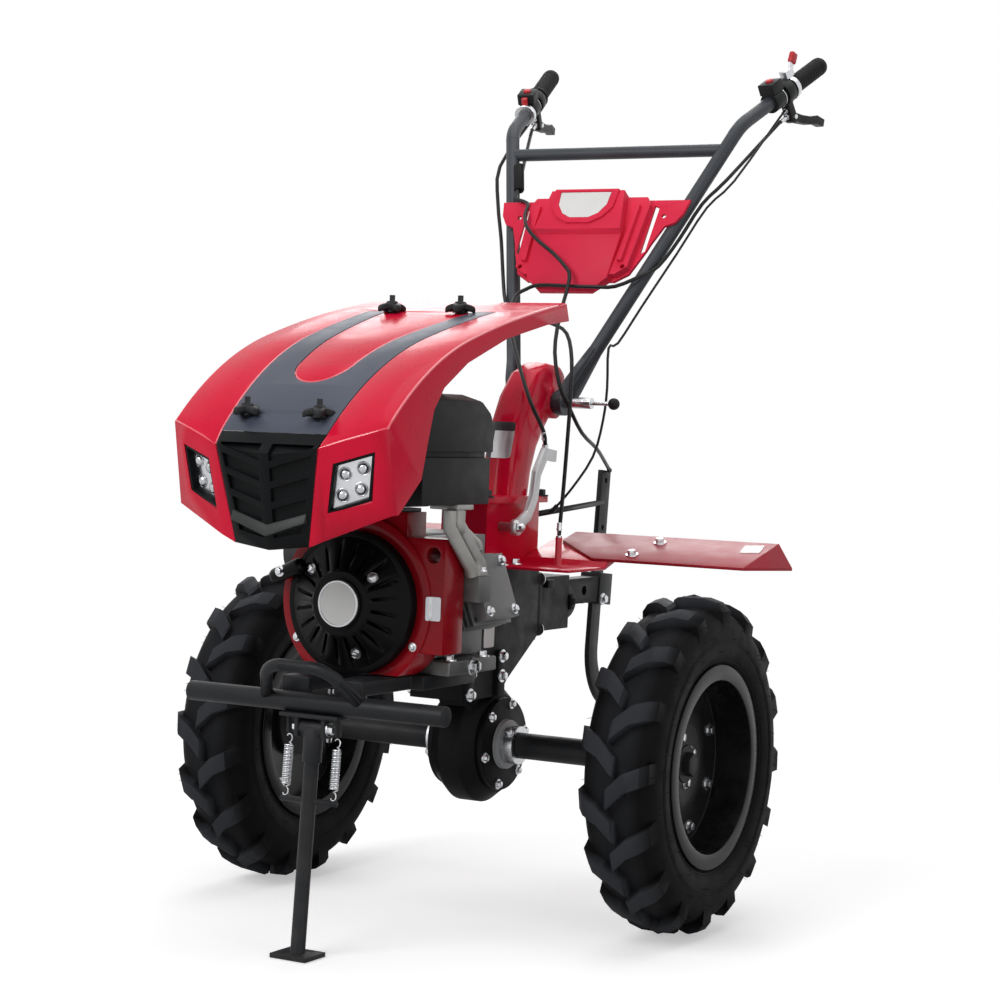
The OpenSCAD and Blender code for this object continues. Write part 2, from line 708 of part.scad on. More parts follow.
// Chevron slats and the middle rib, drawn from the front
module slats() {
    front_prism([[-8, grille_low - 20], [8, grille_low - 20], [8, grille_top], [-8, grille_top]],
        nose_mid - 70, nose_mid + 70);
    for (i = [0 : slat_n - 1]) both_sides() let (z = grille_top - 46 - i * slat_pitch)
        front_prism([[6, z], [80, z + 22], [80, z + 22 + slat_w], [6, z + slat_w]],
            nose_mid - 70, nose_mid + 70);
}
module grille_well() {
    low = grille_low_half - grille_rim;
    high = band_front - grille_rim;
    front_prism([[0, grille_low + 6], [low, grille_low + 16], [high, grille_top - 14],
        [-high, grille_top - 14], [-low, grille_low + 16]], nose_mid - 70, nose_mid + 70);
}
module grille() {
    color("#17181b") difference() {
        intersection() {
            difference() {
                bonnet_form(0);
                bonnet_form(grille_sink + 5);
            }
            grille_outline(-inlay_gap / 2);
            block([-200, nose_mid - 70, grille_low - 48], [200, nose_mid + 58, grille_top]);
        }
        difference() {
            grille_well();
            bonnet_form(grille_sink);
            slats();
        }
    }
}
lens_d = 20;
lamp_rim = 9;
lamp_sink = 12;
module headlamps() {
    inner = spread(lamp_quad, -lamp_rim);
    color("#c9ccd0") both_sides() at_lamp() union() {
        difference() {
            front_prism(spread(lamp_quad, -0.1), 1, 28);
            front_prism(inner, 0, lamp_sink);
        }
        for (a = [0.26, 0.74], b = [0.26, 0.74]) let (c = in_quad(inner, a, b))
            translate([c.x, lamp_sink, c.y]) sphere(d = lens_d);
    }
}
// Four wing knobs on studs through the bonnet's skin, rows [x, y]
function skin_z(y) = y > mid_y
    ? arc_z(y, bonnet_rear, bonnet_rear_z, rear_r, arc_low)
    : arc_z(y, mid_y, mid_z, nose_r, arc_mid);
// Height at y of an arc of radius r that leans by a at the point [y0, z0]
function arc_z(y, y0, z0, r, a) = z0 - r * cos(a) + sqrt(pow(r, 2) - pow(y0 + r * sin(a) - y, 2));
knobs = [[56, knob_front_y], [56, knob_rear_y]];
knob_lift = 9;
stud_d = 8;
stud_slack = 0.2;
module stud_holes() {
    both_sides() for (k = knobs) translate([k.x, k.y, skin_z(k.y) - 40]) cylinder(h = 80, d = stud_d + 1);
}
module bonnet_knobs() {
    color("#121214") both_sides() for (k = knobs)
        translate([k.x, k.y, skin_z(k.y) + knob_lift]) difference() {
            union() {
                cylinder(h = 12, d = 18);
                translate([0, 0, 4]) cylinder(h = 8, d = 26);
                translate([-18, -5, 4]) cube([36, 10, 8]);
            }
            translate([0, 0, -1]) cylinder(h = 14, d = stud_d + 2 * stud_slack);
        }
}
post_y = -245;
strap_w = 20;
strap_t = 5;
module stud(k, from) {
    translate([k.x, k.y, from]) cylinder(h = skin_z(k.y) + knob_lift + 16 - from, d = stud_d);
}
module bonnet_brackets() {
    x0 = knobs[0].x - strap_w / 2;
    x1 = knobs[0].x + strap_w / 2;
    shelf = skin_z(post_y) - 20;
    front_top = skin_z(knob_front_y) - 22;
    color("#202123") both_sides() union() {
        block([x0, knob_front_y - 8, pad_z], [x1, block_front, pad_z + strap_t]);
        stud(knobs[0], pad_z);
        block([x0, knob_front_y + 8, pad_z], [x1, knob_front_y + 8 + strap_t, front_top]);
        block([x0, post_y - strap_t, tank_hi.z], [x1, post_y, shelf]);
        block([x0, post_y - strap_t, shelf - strap_t], [x1, knob_rear_y + 8, shelf]);
        stud(knobs[1], shelf - strap_t);
    }
}

// Gooseneck column on a bolted foot, skinned over rounded sections
pivot_y = 150;
pivot_z = 745;
head_d = 50;
head_half = 30;
foot_half = 38;
foot_front = -62;
foot_rear = 95;
foot_top = 594;
foot_flange = 10;
column_half = 28;
column_sides = 20;
// Sections of the column from the foot up: [y, z, lean from upright, half depth]
column_sections = [[53, foot_top + 1, 6, 33], [61, 646, 14, 35], [76, 690, 26, 39], [100, 728, 38, 43],
    [126, 756, 52, 43], [150, 770, 72, 37], [171, 774, 92, 30], [180, 773, 96, 22]];
function rounded(v) = sign(v) * sqrt(abs(v));
function column_ring(q) = [for (k = [0 : column_sides - 1])
    let (a = k * 360 / column_sides, d = rounded(sin(a)) * q[3])
    [rounded(cos(a)) * column_half, q[0] + d * cos(q[2]), q[1] - d * sin(q[2])]];
module handle_column() {
    color("#c8102e") difference() {
        union() {
            block([-foot_half, foot_front, case_top], [foot_half, foot_rear, foot_top]);
            block([-foot_half - 8, foot_front - 14, foot_top],
                [foot_half + 8, foot_rear + 12, foot_top + foot_flange]);
            skin([for (q = column_sections) column_ring(q)]);
            x_rod(-head_half, head_half, pivot_y, pivot_z, head_d);
        }
        x_rod(-100, 100, pivot_y, pivot_z, clamp_bolt_d + 2 * run_clear);
    }
}
// Clutch arm, a flat casting on the foot's right side: centreline [y, z], from the pivot to the hook
arm_x = 60;
arm_line = [[-23, 560], [12, 577], [29, 604], [35, 638], [58, 668], [90, 664]];
arm_w = 17;
arm_t = 8;
module clutch_arm() {
    color("#c4c6c8") union() {
        x_rod(foot_half, arm_x + 1, arm_line[0].x, arm_line[0].y, 14);
        side_prism(ribbon(arm_line, arm_w), arm_x, arm_x + arm_t);
        x_rod(arm_x, arm_x + arm_t + 2, arm_line[0].x, arm_line[0].y, arm_w + 6);
    }
}
disc_t = 6;
eye_t = 12;
eye_d = 40;
eye_in = head_half + seat_gap + disc_t;
clamp_out = eye_in + eye_t + seat_gap;
sleeve_l = 44;
rod_l = 30;
ball_d = 18;
module clamp_lever() {
    rod_end = clamp_out + sleeve_l + rod_l;
    color("silver") union() {
        x_rod(-clamp_out - 14, clamp_out + 1, pivot_y, pivot_z, clamp_bolt_d);
        x_rod(-clamp_out - 14, -clamp_out, pivot_y, pivot_z, clamp_bolt_d + 10);
        x_rod(clamp_out, clamp_out + sleeve_l, pivot_y, pivot_z, clamp_bolt_d + 5);
        x_rod(clamp_out + sleeve_l - 1, rod_end, pivot_y, pivot_z, 6);
        translate([rod_end + ball_d / 2 - 2, pivot_y, pivot_z]) sphere(d = ball_d);
    }
}

// Handlebar: two tubes from the clamp, out and back to the grips
tube_root = [eye_in + eye_t / 2, pivot_y, pivot_z];
tube_bend = [205, 406, 1190];
tube_dir = unit(tube_bend - tube_root);
tube_start = 24;
tube_low = tube_root + tube_dir * tube_start;
tube_cross = tube_bend - tube_dir * 49;
grip_end = [250, 618, 1314];
grip_dir = unit(grip_end - tube_bend);
// The drawing's y = 0 is at the axle; the finished part is centred between nose and grips
nose_y = -574;
tail_y = grip_end.y + grip_d / 2 * sqrt(1 - pow(grip_dir.y, 2));
axle_y = -(nose_y + tail_y) / 2;
module from_axle() { translate([0, axle_y, -ground_z]) children(); }
module handle_path() {
    bent_tube([tube_low, tube_bend, grip_end - grip_dir * 6], handle_d, 70);
}
// Flattened foot of a tube, in the tube's own plane: points [across, along]
tube_foot = [[-17, -6], [17, -6], [21, 30], [handle_d / 2 + 1, 96], [-handle_d / 2 - 1, 96], [-21, 30]];
module in_tube_plane() {
    v = tube_dir;
    n = unit([1, 0, 0] - v * v.x);
    w = cross(v, n);
    o = tube_root;
    multmatrix([[w.x, v.x, -n.x, o.x], [w.y, v.y, -n.y, o.y], [w.z, v.z, -n.z, o.z],
        [0, 0, 0, 1]]) children();
}
module handle_tube() {
    color("#34373c") difference() {
        union() {
            handle_path();
            intersection() {
                in_tube_plane() translate([0, 0, -eye_t / 2 + 1])
                    linear_extrude(eye_t - 2) polygon(tube_foot);
                block([eye_in, pivot_y - 60, pivot_z - 60], [eye_in + 80, pivot_y + 120, pivot_z + 150]);
            }
            x_rod(eye_in, eye_in + eye_t, pivot_y, pivot_z, eye_d);
            x_rod(head_half + seat_gap, eye_in + 1, pivot_y, pivot_z, eye_d - 6);
        }
        x_rod(eye_in + eye_t, eye_in + 80, pivot_y, pivot_z, clamp_bolt_d + 14);
        x_rod(0, 100, pivot_y, pivot_z, clamp_bolt_d + 2 * run_clear);
    }
}
module crossbar() {
    color("#34373c") difference() {
        x_rod(-tube_cross.x, tube_cross.x, tube_cross.y, tube_cross.z, crossbar_d);
        both_sides() bar(tube_low, tube_bend, handle_d + 2 * seat_gap);
    }
}
// Dash panel between the tubes: a flat backing and a raised housing
panel_lean = atan2(tube_cross.y - tube_low.y, tube_cross.z - tube_low.z);
panel_off = handle_d / 2 + seat_gap;
module in_panel_plane() {
    translate([0, tube_low.y, tube_low.z]) rotate([-panel_lean, 0, 0]) translate([0, -panel_off, 0])
        rotate([90, 0, 0]) children();
}
panel_low = 186;
panel_high = 338;
wing_t = 5;
shell_low = 164;
shell_deep = 34;
ledge_at = 264;
// Half outlines of the dash, points [across, up the panel], from the bottom middle outwards
wing_half = [[76, panel_low], [98, panel_low + 14], [116, 243], [120, 256], [134, 289], [150, 296],
    [160, panel_high - 26], [166, panel_high]];
flank_half = [[80, 192], [98, 206], [106, 322], [98, panel_high - 2]];
shell_half = [[46, shell_low], [70, 184], [76, ledge_at], [64, panel_high]];
frame_half = [[20, 275], [40, 286], [54, 304], [56, panel_high]];
plate_half = [[16, 284], [32, 292], [43, 308], [45, panel_high - 5]];
screws = [[128, 308], [90, 206]];
screw_d = 8;
function mirrored(p) = concat(p, [for (i = [len(p) - 1 : -1 : 0]) [-p[i].x, p[i].y]]);
module raised(half, h0, h1) { translate([0, 0, h0]) linear_extrude(h1 - h0) polygon(mirrored(half)); }
module console() {
    color("#c8102e") in_panel_plane() difference() {
        union() {
            raised(wing_half, 0, wing_t);
            raised(flank_half, wing_t - 1, 17);
            intersection() {
                raised(shell_half, wing_t - 1, shell_deep);
                side_prism([[shell_low - 1, 0], [shell_low - 1, 12], [shell_low + 14, 19],
                    [ledge_at - 4, 26], [ledge_at + 2, shell_deep], [panel_high + 1, shell_deep],
                    [panel_high + 1, 0]], -120, 120);
            }
            raised(frame_half, shell_deep - 1, shell_deep + 4);
            both_sides() translate([84, 0, 16]) linear_extrude(8)
                polygon([[-4, 214], [4, 214], [8, 318], [0, 318]]);
        }
        raised(plate_half, shell_deep + 2, shell_deep + 5);
        both_sides() translate([0, 0, -1]) linear_extrude(wing_t + 2)
            polygon([[106, 236], [114, 242], [117, 324], [108, 328]]);
        both_sides() for (p = screws) translate([p.x, p.y, -1]) cylinder(h = wing_t + 20, d = screw_d);
    }
}
module along_grip(from) {
    v = grip_dir;
    translate(grip_end - v * from) rotate([0, acos(v.z), atan2(v.y, v.x)]) children();
}
grip_l = 100;
module grips() {
    color("#111113") both_sides() along_grip(grip_l) difference() {
        cylinder(h = grip_l, d = grip_d);
        translate([0, 0, -1]) cylinder(h = grip_l - 4, d = handle_d + 2 * seat_gap);
    }
}
perch_at = grip_l + 26;
perch_w = 18;
perch_wall = 6;
perch_drop = 46;
lever_w = 12;
lever_t = 9;
// Perch and lever seen from the side, points [drop below the tube, place along the grip]
perch_outline = [[handle_d / 2 + 3, 3], [perch_drop, 3], [perch_drop + 4, 8],
    [perch_drop + 2, perch_w - 3], [handle_d / 2 + 3, perch_w - 3]];
lever_line = [[perch_drop - 6, 8], [54, 28], [66, 50], [72, 68], [84, 82]];
module hand_levers() {
    color("#26272a") both_sides() along_grip(perch_at) difference() {
        union() {
            cylinder(h = perch_w, d = handle_d + 2 * perch_wall);
            translate([0, lever_w / 2, 0]) rotate([90, 0, 0]) linear_extrude(lever_w) union() {
                polygon(perch_outline);
                polygon(ribbon(lever_line, lever_t));
            }
        }
        translate([0, 0, -1]) cylinder(h = perch_w + 2, d = handle_d + 2 * seat_gap);
    }
}
switch_at = perch_at + 36;
switch_w = 30;
switch_rise = 31;
module switch_boxes() {
    color("#1a1a1c") both_sides() along_grip(switch_at) difference() {
        union() {
            cylinder(h = switch_w, d = handle_d + 2 * perch_wall);
            translate([-switch_rise, -14, 0]) cube([switch_rise - handle_d / 2 - 2, 28, switch_w]);
        }
        translate([0, 0, -1]) cylinder(h = switch_w + 2, d = handle_d + 2 * seat_gap);
    }
}

// Fenders: a tilted plate behind each wheel's top, an outer flap folded down
fender_front = 56;
fender_rear = 172;
plate_top = 506;
// The front edge stands over the bracket's fold, and clear of the lugs where they reach higher
fold_rise = 8;
fender_room = 34;
fender_low = max(plate_top + fold_rise, axle_z + wheel_d / 2 + fender_room);
function fender_z(y) = fender_low + (y - fender_front) * tan(fender_tilt);
fender_out = 396;
flap_out = 418;
flap_drop = 34;
module fender_plate() {
    intersection() {
        side_prism([[fender_front, fender_z(fender_front)], [fender_rear, fender_z(fender_rear)],
            [fender_rear, fender_z(fender_rear) + fender_t],
            [fender_front, fender_z(fender_front) + fender_t]], 0, fender_out + 20);
        translate([0, 0, fender_low - 20]) linear_extrude(100) polygon([[62, fender_rear], [62, 130],
            [150, fender_front], [fender_out - 4, fender_front], [fender_out, fender_rear]]);
    }
}
module fender_flap() {
    z0 = fender_z(fender_front);
    z1 = fender_z(fender_rear);
    hull() {
        translate([fender_out - 6, fender_front, z0]) cube([2, 1, fender_t]);
        translate([fender_out - 2, fender_rear - 1, z1]) cube([2, 1, fender_t]);
        translate([flap_out - 2, fender_rear - 1, z1 - flap_drop]) cube([2, 1, fender_t]);
    }
}
module fender() {
    color("#b5283a") union() {
        fender_plate();
        fender_flap();
    }
}
// Cable post on the right bracket: [x, y]
post_at = [104, 38];
post_d = 10;
post_top = 546;
module fender_brackets() {
    rear = fender_rear - 20;
    front = -66;
    fold = fender_front - 6;
    color("#9c1424") union() {
        both_sides() side_prism([[front, plate_top - fender_t], [fold, plate_top - fender_t],
            [rear, fender_z(rear) - fender_t], [rear, fender_z(rear)],
            [fender_front, fender_z(fender_front)], [fold, plate_top], [front, plate_top]],
            foot_half, 176);
        translate([post_at.x, post_at.y, plate_top - 1]) cylinder(h = post_top - plate_top + 1, d = post_d);
    }
}

// Control cables, swept along points [x, y, z] that are placed from the pieces they hang on
cable_d = 6;
wire_d = 4;
cable_sides = 8;
grip_down = let (v = grip_dir, f = norm([v.x, v.y])) [v.x * v.z / f, v.y * v.z / f, -f];
function grip_point(from, drop) = grip_end - grip_dir * from + grip_down * drop;
function beside_tube(s, out, down, fore = 0) = tube_root + tube_dir * s + [out, -fore, -down];
function on_panel(x, v, h) = [x, tube_low.y + v * sin(panel_lean) - (panel_off + h) * cos(panel_lean),
    tube_low.z + v * cos(panel_lean) + (panel_off + h) * sin(panel_lean)];
function flip(p) = [-p.x, p.y, p.z];
end_gap = 0.4;
lever_gap = 0.7;
lever_end = grip_point(perch_at - 3 + lever_gap, perch_drop - 8);
lever_side = grip_point(perch_at - 3 + lever_gap, perch_drop - 18);
// Right lever to the clutch arm: down the right tube, along the dash's lower edge, behind the bonnet
clutch_cable = [lever_end, lever_end - grip_dir * 6, lever_end - grip_dir * 26,
    beside_tube(450, 26, 16), beside_tube(390, 17, 6), beside_tube(320, 17, 5),
    beside_tube(265, 15, 4, 6), beside_tube(235, 6, -4, 16), on_panel(88, 170, 16),
    on_panel(56, 165, 22), on_panel(12, 165, 24), on_panel(-40, 168, 22), on_panel(-66, 164, 16),
    [-70, 190, 905], [-48, 140, 862], [-6, 92, 808], [40, 52, 745], [64, 52, 702], [64, 60, 678]];
// Left lever to the depth bar: down the left tube, across the dash, past the clamp
bar_cable = [flip(lever_end), flip(lever_end - grip_dir * 6), flip(lever_end - grip_dir * 24),
    flip(beside_tube(470, -18, 12)), flip(beside_tube(425, -16, 2, 8)),
    flip(beside_tube(395, -14, -2, 16)), on_panel(-116, 330, 13), on_panel(-106, 300, 25),
    on_panel(-86, 266, 39), on_panel(-62, 244, 35), on_panel(-30, 222, 32), on_panel(0, 196, 34),
    on_panel(16, 172, 34), [26, 160, 872], [40, 124, 820], [60, 106, 770], [74, 112, 738],
    [72, 160, 700], [52, 250, 676], [26, 330, 655], [8, 384, 640.5]];
// Left lever, outer loop, to the post on the right fender bracket
post_cable = [flip(lever_side), flip(lever_side - grip_dir * 6),
    flip(lever_side - grip_dir * 24 + [6, 0, 0]), flip(beside_tube(480, 24, 10)),
    flip(beside_tube(400, 28, 6)), flip(beside_tube(320, 22, 4)), flip(beside_tube(240, 15, 4, 6)),
    flip(beside_tube(195, 4, 4, 19)), [-80, 200, 880], [-46, 194, 874], [0, 184, 866],
    [40, 160, 850], [66, 130, 810], [80, 104, 752], [88, 84, 690], [96, 62, 620],
    [post_at.x, post_at.y + 2, 566], [post_at.x, post_at.y, post_top + end_gap]];
// Right lever, second wire, to the stay behind the foot
shift_wire = [lever_side, lever_side - grip_dir * 6, lever_side - grip_dir * 26 + [4, 0, 0],
    beside_tube(455, 36, 22), beside_tube(390, 25, 12), beside_tube(300, 24, 12),
    beside_tube(200, 22, 12), beside_tube(130, 20, 14), [94, 196, 830], [95, 194, 770],
    [92, 190, 720], [84, 176, 664], [60, 152, 612], [36.5, 140, 580]];
module sweep(p, d) {
    n = len(p);
    skin([for (i = [0 : n - 1]) let (
        t = unit(p[min(i + 1, n - 1)] - p[max(i - 1, 0)]),
        u = unit(cross(t, [0.9, -0.4, 0.1])),
        v = cross(t, u))
        [for (k = [0 : cable_sides - 1])
            p[i] + (u * cos(k * 360 / cable_sides) + v * sin(k * 360 / cable_sides)) * d / 2]]);
}
function curve_point(a, b, c, d, t) = 0.5 * (2 * b + (c - a) * t
    + (2 * a - 5 * b + 4 * c - d) * t * t + (3 * b - a - 3 * c + d) * t * t * t);
function smooth(p, steps) = let (n = len(p)) concat(
    [for (i = [0 : n - 2], k = [0 : steps - 1])
        curve_point(p[max(i - 1, 0)], p[i], p[i + 1], p[min(i + 2, n - 1)], k / steps)], [p[n - 1]]);
module cables() {
    color("#0f0f10") {
        sweep(smooth(clutch_cable, 3), cable_d);
        sweep(smooth(bar_cable, 3), cable_d);
        sweep(smooth(post_cable, 3), cable_d);
        sweep(smooth(shift_wire, 3), wire_d);
    }
}

from_axle() gearbox_case();
from_axle() axle_covers();
from_axle() clutch_housing();
from_axle() pto_housing();
from_axle() hitch_bracket();
from_axle() depth_bar();
from_axle() engine_bed();
from_axle() engine_block();
from_axle() cylinder_head();
from_axle() fan_shroud();
from_axle() recoil_starter();
from_axle() air_cleaner();
from_axle() intake();
from_axle() fuel_tank();
from_axle() muffler();
from_axle() bumper_bar();
from_axle() bumper_hoop();
from_axle() stand_bracket();
from_axle() bonnet_shell();
from_axle() bonnet_panel();
from_axle() grille();
from_axle() headlamps();
from_axle() bonnet_knobs();
from_axle() bonnet_brackets();
from_axle() handle_column();
from_axle() clutch_arm();
from_axle() clamp_lever();
from_axle() mirror([1, 0, 0]) fender();  // fender_left
from_axle() fender();  // fender_right
from_axle() fender_brackets();
from_axle() wheel_place(-1) axle();  // axle_left
from_axle() wheel_place(-1) collar();  // collar_left
from_axle() wheel_place(-1) rim();  // rim_left
from_axle() wheel_place(-1) tyre();  // tyre_left
from_axle() wheel_place(1) axle();  // axle_right
from_axle() wheel_place(1) collar();  // collar_right
from_axle() wheel_place(1) rim();  // rim_right
from_axle() wheel_place(1) tyre();  // tyre_right
from_axle() stand_leg();
from_axle() stand_springs();
from_axle() mirror([1, 0, 0]) handle_tube();  // handle_tube_left
from_axle() handle_tube();  // handle_tube_right
from_axle() crossbar();
from_axle() console();
from_axle() grips();
from_axle() hand_levers();
from_axle() switch_boxes();
from_axle() cables();
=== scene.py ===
import json
import math

import bmesh
import bpy
from mathutils import Matrix, Vector
from mathutils.bvhtree import BVHTree


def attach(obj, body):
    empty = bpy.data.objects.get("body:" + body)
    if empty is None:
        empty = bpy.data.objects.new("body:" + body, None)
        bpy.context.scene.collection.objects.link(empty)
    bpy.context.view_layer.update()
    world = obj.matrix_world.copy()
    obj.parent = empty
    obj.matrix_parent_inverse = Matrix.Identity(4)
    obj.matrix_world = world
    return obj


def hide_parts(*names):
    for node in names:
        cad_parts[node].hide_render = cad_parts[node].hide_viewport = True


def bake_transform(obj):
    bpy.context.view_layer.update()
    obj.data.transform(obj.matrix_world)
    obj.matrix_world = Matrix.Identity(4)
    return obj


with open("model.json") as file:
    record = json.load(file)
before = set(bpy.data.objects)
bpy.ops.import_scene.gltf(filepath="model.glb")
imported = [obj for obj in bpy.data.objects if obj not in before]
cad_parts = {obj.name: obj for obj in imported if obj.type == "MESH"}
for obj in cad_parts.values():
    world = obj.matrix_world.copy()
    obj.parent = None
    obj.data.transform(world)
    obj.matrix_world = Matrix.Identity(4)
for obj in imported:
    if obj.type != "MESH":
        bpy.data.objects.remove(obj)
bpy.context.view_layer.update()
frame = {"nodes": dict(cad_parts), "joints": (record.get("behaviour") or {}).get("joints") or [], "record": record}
nodes = frame["nodes"]
joints = {joint["name"]: joint for joint in frame["joints"]}
wheelX, axleY, axleZ = joints["wheel_right_spin"]["pos_m"]
wheelOut, axleUp = wheelX * 1000, axleZ * 1000  # millimetres, as place takes them
crankUp = 463
print("frame loaded, axle at y", round(axleY, 4))


def place(x, y, z):  # millimetres from the axle line, into the frame
    return Vector((x / 1000, y / 1000 + axleY, z / 1000))


# camera at the photo's angle, solved from the wheels, the bonnet and the grips
view = {"eye": (1755, -3071, 721), "aim": (23.95, 0, 597.85), "lens": 86.385, "roll": math.radians(2.0)}


def addCamera():
    eye = place(*view["eye"])
    ahead = (place(*view["aim"]) - eye).normalized()
    right = ahead.cross(Vector((0, 0, 1))).normalized()
    up = right.cross(ahead)
    rolledRight = right * math.cos(view["roll"]) + up * math.sin(view["roll"])
    rolledUp = up * math.cos(view["roll"]) - right * math.sin(view["roll"])
    data = bpy.data.cameras.new("camera")
    data.lens = view["lens"]
    data.sensor_width = 36.0
    data.clip_end = 60.0
    camera = bpy.data.objects.new("camera", data)
    basis = Matrix((rolledRight, rolledUp, -ahead)).transposed().to_4x4()
    camera.matrix_world = Matrix.Translation(eye) @ basis
    bpy.context.scene.collection.objects.link(camera)
    bpy.context.scene.camera = camera


addCamera()
bpy.context.scene.view_settings.view_transform = "Standard"


# shader node groups shared by the finishes
def startGroup(name, inputs, outputs):
    group = bpy.data.node_groups.new(name, "ShaderNodeTree")
    for label, kind, value in inputs:
        socket = group.interface.new_socket(label, in_out="INPUT", socket_type=kind)
        socket.default_value = value
    for label, kind in outputs:
        group.interface.new_socket(label, in_out="OUTPUT", socket_type=kind)
    return group, group.nodes.new("NodeGroupInput"), group.nodes.new("NodeGroupOutput")


def objectPoint(tree):
    return tree.nodes.new("ShaderNodeTexCoord").outputs["Object"]


def noiseOf(tree, point, scale, detail=3.0):
    noise = tree.nodes.new("ShaderNodeTexNoise")
    noise.inputs["Detail"].default_value = detail
    tree.links.new(point, noise.inputs["Vector"])
    if isinstance(scale, (int, float)):
        noise.inputs["Scale"].default_value = scale
    else:
        tree.links.new(scale, noise.inputs["Scale"])
    return noise.outputs["Fac"]


def rangeOf(tree, value, low, high, toLow=0.0, toHigh=1.0):
    remap = tree.nodes.new("ShaderNodeMapRange")
    tree.links.new(value, remap.inputs["Value"])
    for label, bound in (("From Min", low), ("From Max", high), ("To Min", toLow), ("To Max", toHigh)):
        if isinstance(bound, (int, float)):
            remap.inputs[label].default_value = bound
        else:
            tree.links.new(bound, remap.inputs[label])
    return remap.outputs["Result"]


def mixColours(tree, factor, first, second):
    mix = tree.nodes.new("ShaderNodeMix")
    mix.data_type = "RGBA"
    for socket, value in ((mix.inputs[0], factor), (mix.inputs[6], first), (mix.inputs[7], second)):
        tree.links.new(value, socket)
    return mix.outputs[2]


def mathOf(tree, how, first, second):
    step = tree.nodes.new("ShaderNodeMath")
    step.operation = how
    for socket, value in ((step.inputs[0], first), (step.inputs[1], second)):
        if isinstance(value, (int, float)):
            socket.default_value = value
        else:
            tree.links.new(value, socket)
    return step.outputs[0]


# tone that drifts over a panel, roughness that drifts with it, and a fine grain for bump
def makeSkinGroup():
    group, inputs, outputs = startGroup("surfaceSkin", [
        ("Light Tone", "NodeSocketColor", (0.5, 0.5, 0.5, 1)),
        ("Dark Tone", "NodeSocketColor", (0.4, 0.4, 0.4, 1)),
        ("Rough Low", "NodeSocketFloat", 0.3), ("Rough High", "NodeSocketFloat", 0.4),
        ("Grain Scale", "NodeSocketFloat", 400.0)],
        [("Color", "NodeSocketColor"), ("Roughness", "NodeSocketFloat"), ("Grain", "NodeSocketFloat")])
    point = objectPoint(group)
    cloud = noiseOf(group, point, 7.0)
    smear = noiseOf(group, point, 38.0, 5.0)
    blended = mathOf(group, "ADD", mathOf(group, "MULTIPLY", cloud, 0.65),
                     mathOf(group, "MULTIPLY", smear, 0.35))
    spread = rangeOf(group, blended, 0.36, 0.64)
    colour = mixColours(group, spread, inputs.outputs["Dark Tone"], inputs.outputs["Light Tone"])
    rough = rangeOf(group, smear, 0.3, 0.7, inputs.outputs["Rough Low"], inputs.outputs["Rough High"])
    grain = noiseOf(group, point, inputs.outputs["Grain Scale"], 2.0)
    group.links.new(colour, outputs.inputs["Color"])
    group.links.new(rough, outputs.inputs["Roughness"])
    group.links.new(grain, outputs.inputs["Grain"])
    return group


# a dry film of soil low down on whatever runs near the ground
def makeDustGroup():
    group, inputs, outputs = startGroup("groundDust", [
        ("Clean", "NodeSocketColor", (0.02, 0.02, 0.02, 1)),
        ("Dust", "NodeSocketColor", (0.2, 0.17, 0.13, 1)),
        ("Top", "NodeSocketFloat", 0.3), ("Amount", "NodeSocketFloat", 0.2)],
        [("Color", "NodeSocketColor"), ("Mask", "NodeSocketFloat")])
    point = objectPoint(group)
    split = group.nodes.new("ShaderNodeSeparateXYZ")
    group.links.new(point, split.inputs[0])
    height = rangeOf(group, split.outputs["Z"], inputs.outputs["Top"], 0.0)
    patch = rangeOf(group, noiseOf(group, point, 26.0, 6.0), 0.38, 0.68)
    mask = mathOf(group, "MULTIPLY", mathOf(group, "MULTIPLY", height, patch), inputs.outputs["Amount"])
    group.links.new(mixColours(group, mask, inputs.outputs["Clean"], inputs.outputs["Dust"]),
                    outputs.inputs["Color"])
    group.links.new(mask, outputs.inputs["Mask"])
    return group


# lug faces are painted paler than the casing by their distance from the axle line: a painted sheen
def makeLugSheenGroup():
    group, inputs, outputs = startGroup("lugSheen", [
        ("Casing", "NodeSocketColor", (0.01, 0.01, 0.01, 1)),
        ("Lug", "NodeSocketColor", (0.03, 0.03, 0.03, 1)),
        ("Low", "NodeSocketFloat", 0.218), ("High", "NodeSocketFloat", 0.234)],
        [("Color", "NodeSocketColor")])
    centred = group.nodes.new("ShaderNodeMapping")
    centred.inputs["Location"].default_value = (0, -axleY, -axleZ)
    centred.inputs["Scale"].default_value = (0, 1, 1)
    group.links.new(objectPoint(group), centred.inputs["Vector"])
    reach = group.nodes.new("ShaderNodeVectorMath")
    reach.operation = "LENGTH"
    group.links.new(centred.outputs["Vector"], reach.inputs[0])
    mask = rangeOf(group, reach.outputs["Value"], inputs.outputs["Low"], inputs.outputs["High"])
    group.links.new(mixColours(group, mask, inputs.outputs["Casing"], inputs.outputs["Lug"]),
                    outputs.inputs["Color"])
    return group


skinGroup = makeSkinGroup()
dustGroup = makeDustGroup()
lugSheenGroup = makeLugSheenGroup()


def placeGroup(tree, group, **values):
    node = tree.nodes.new("ShaderNodeGroup")
    node.node_tree = group
    for label, value in values.items():
        socket = node.inputs[label.replace("_", " ")]
        socket.default_value = (*value, 1.0) if isinstance(value, tuple) else value
    return node


def tones(light, dark, rough, grain, depth, **more):
    return {"light": light, "dark": dark, "rough": rough, "grain": grain, "depth": depth, **more}


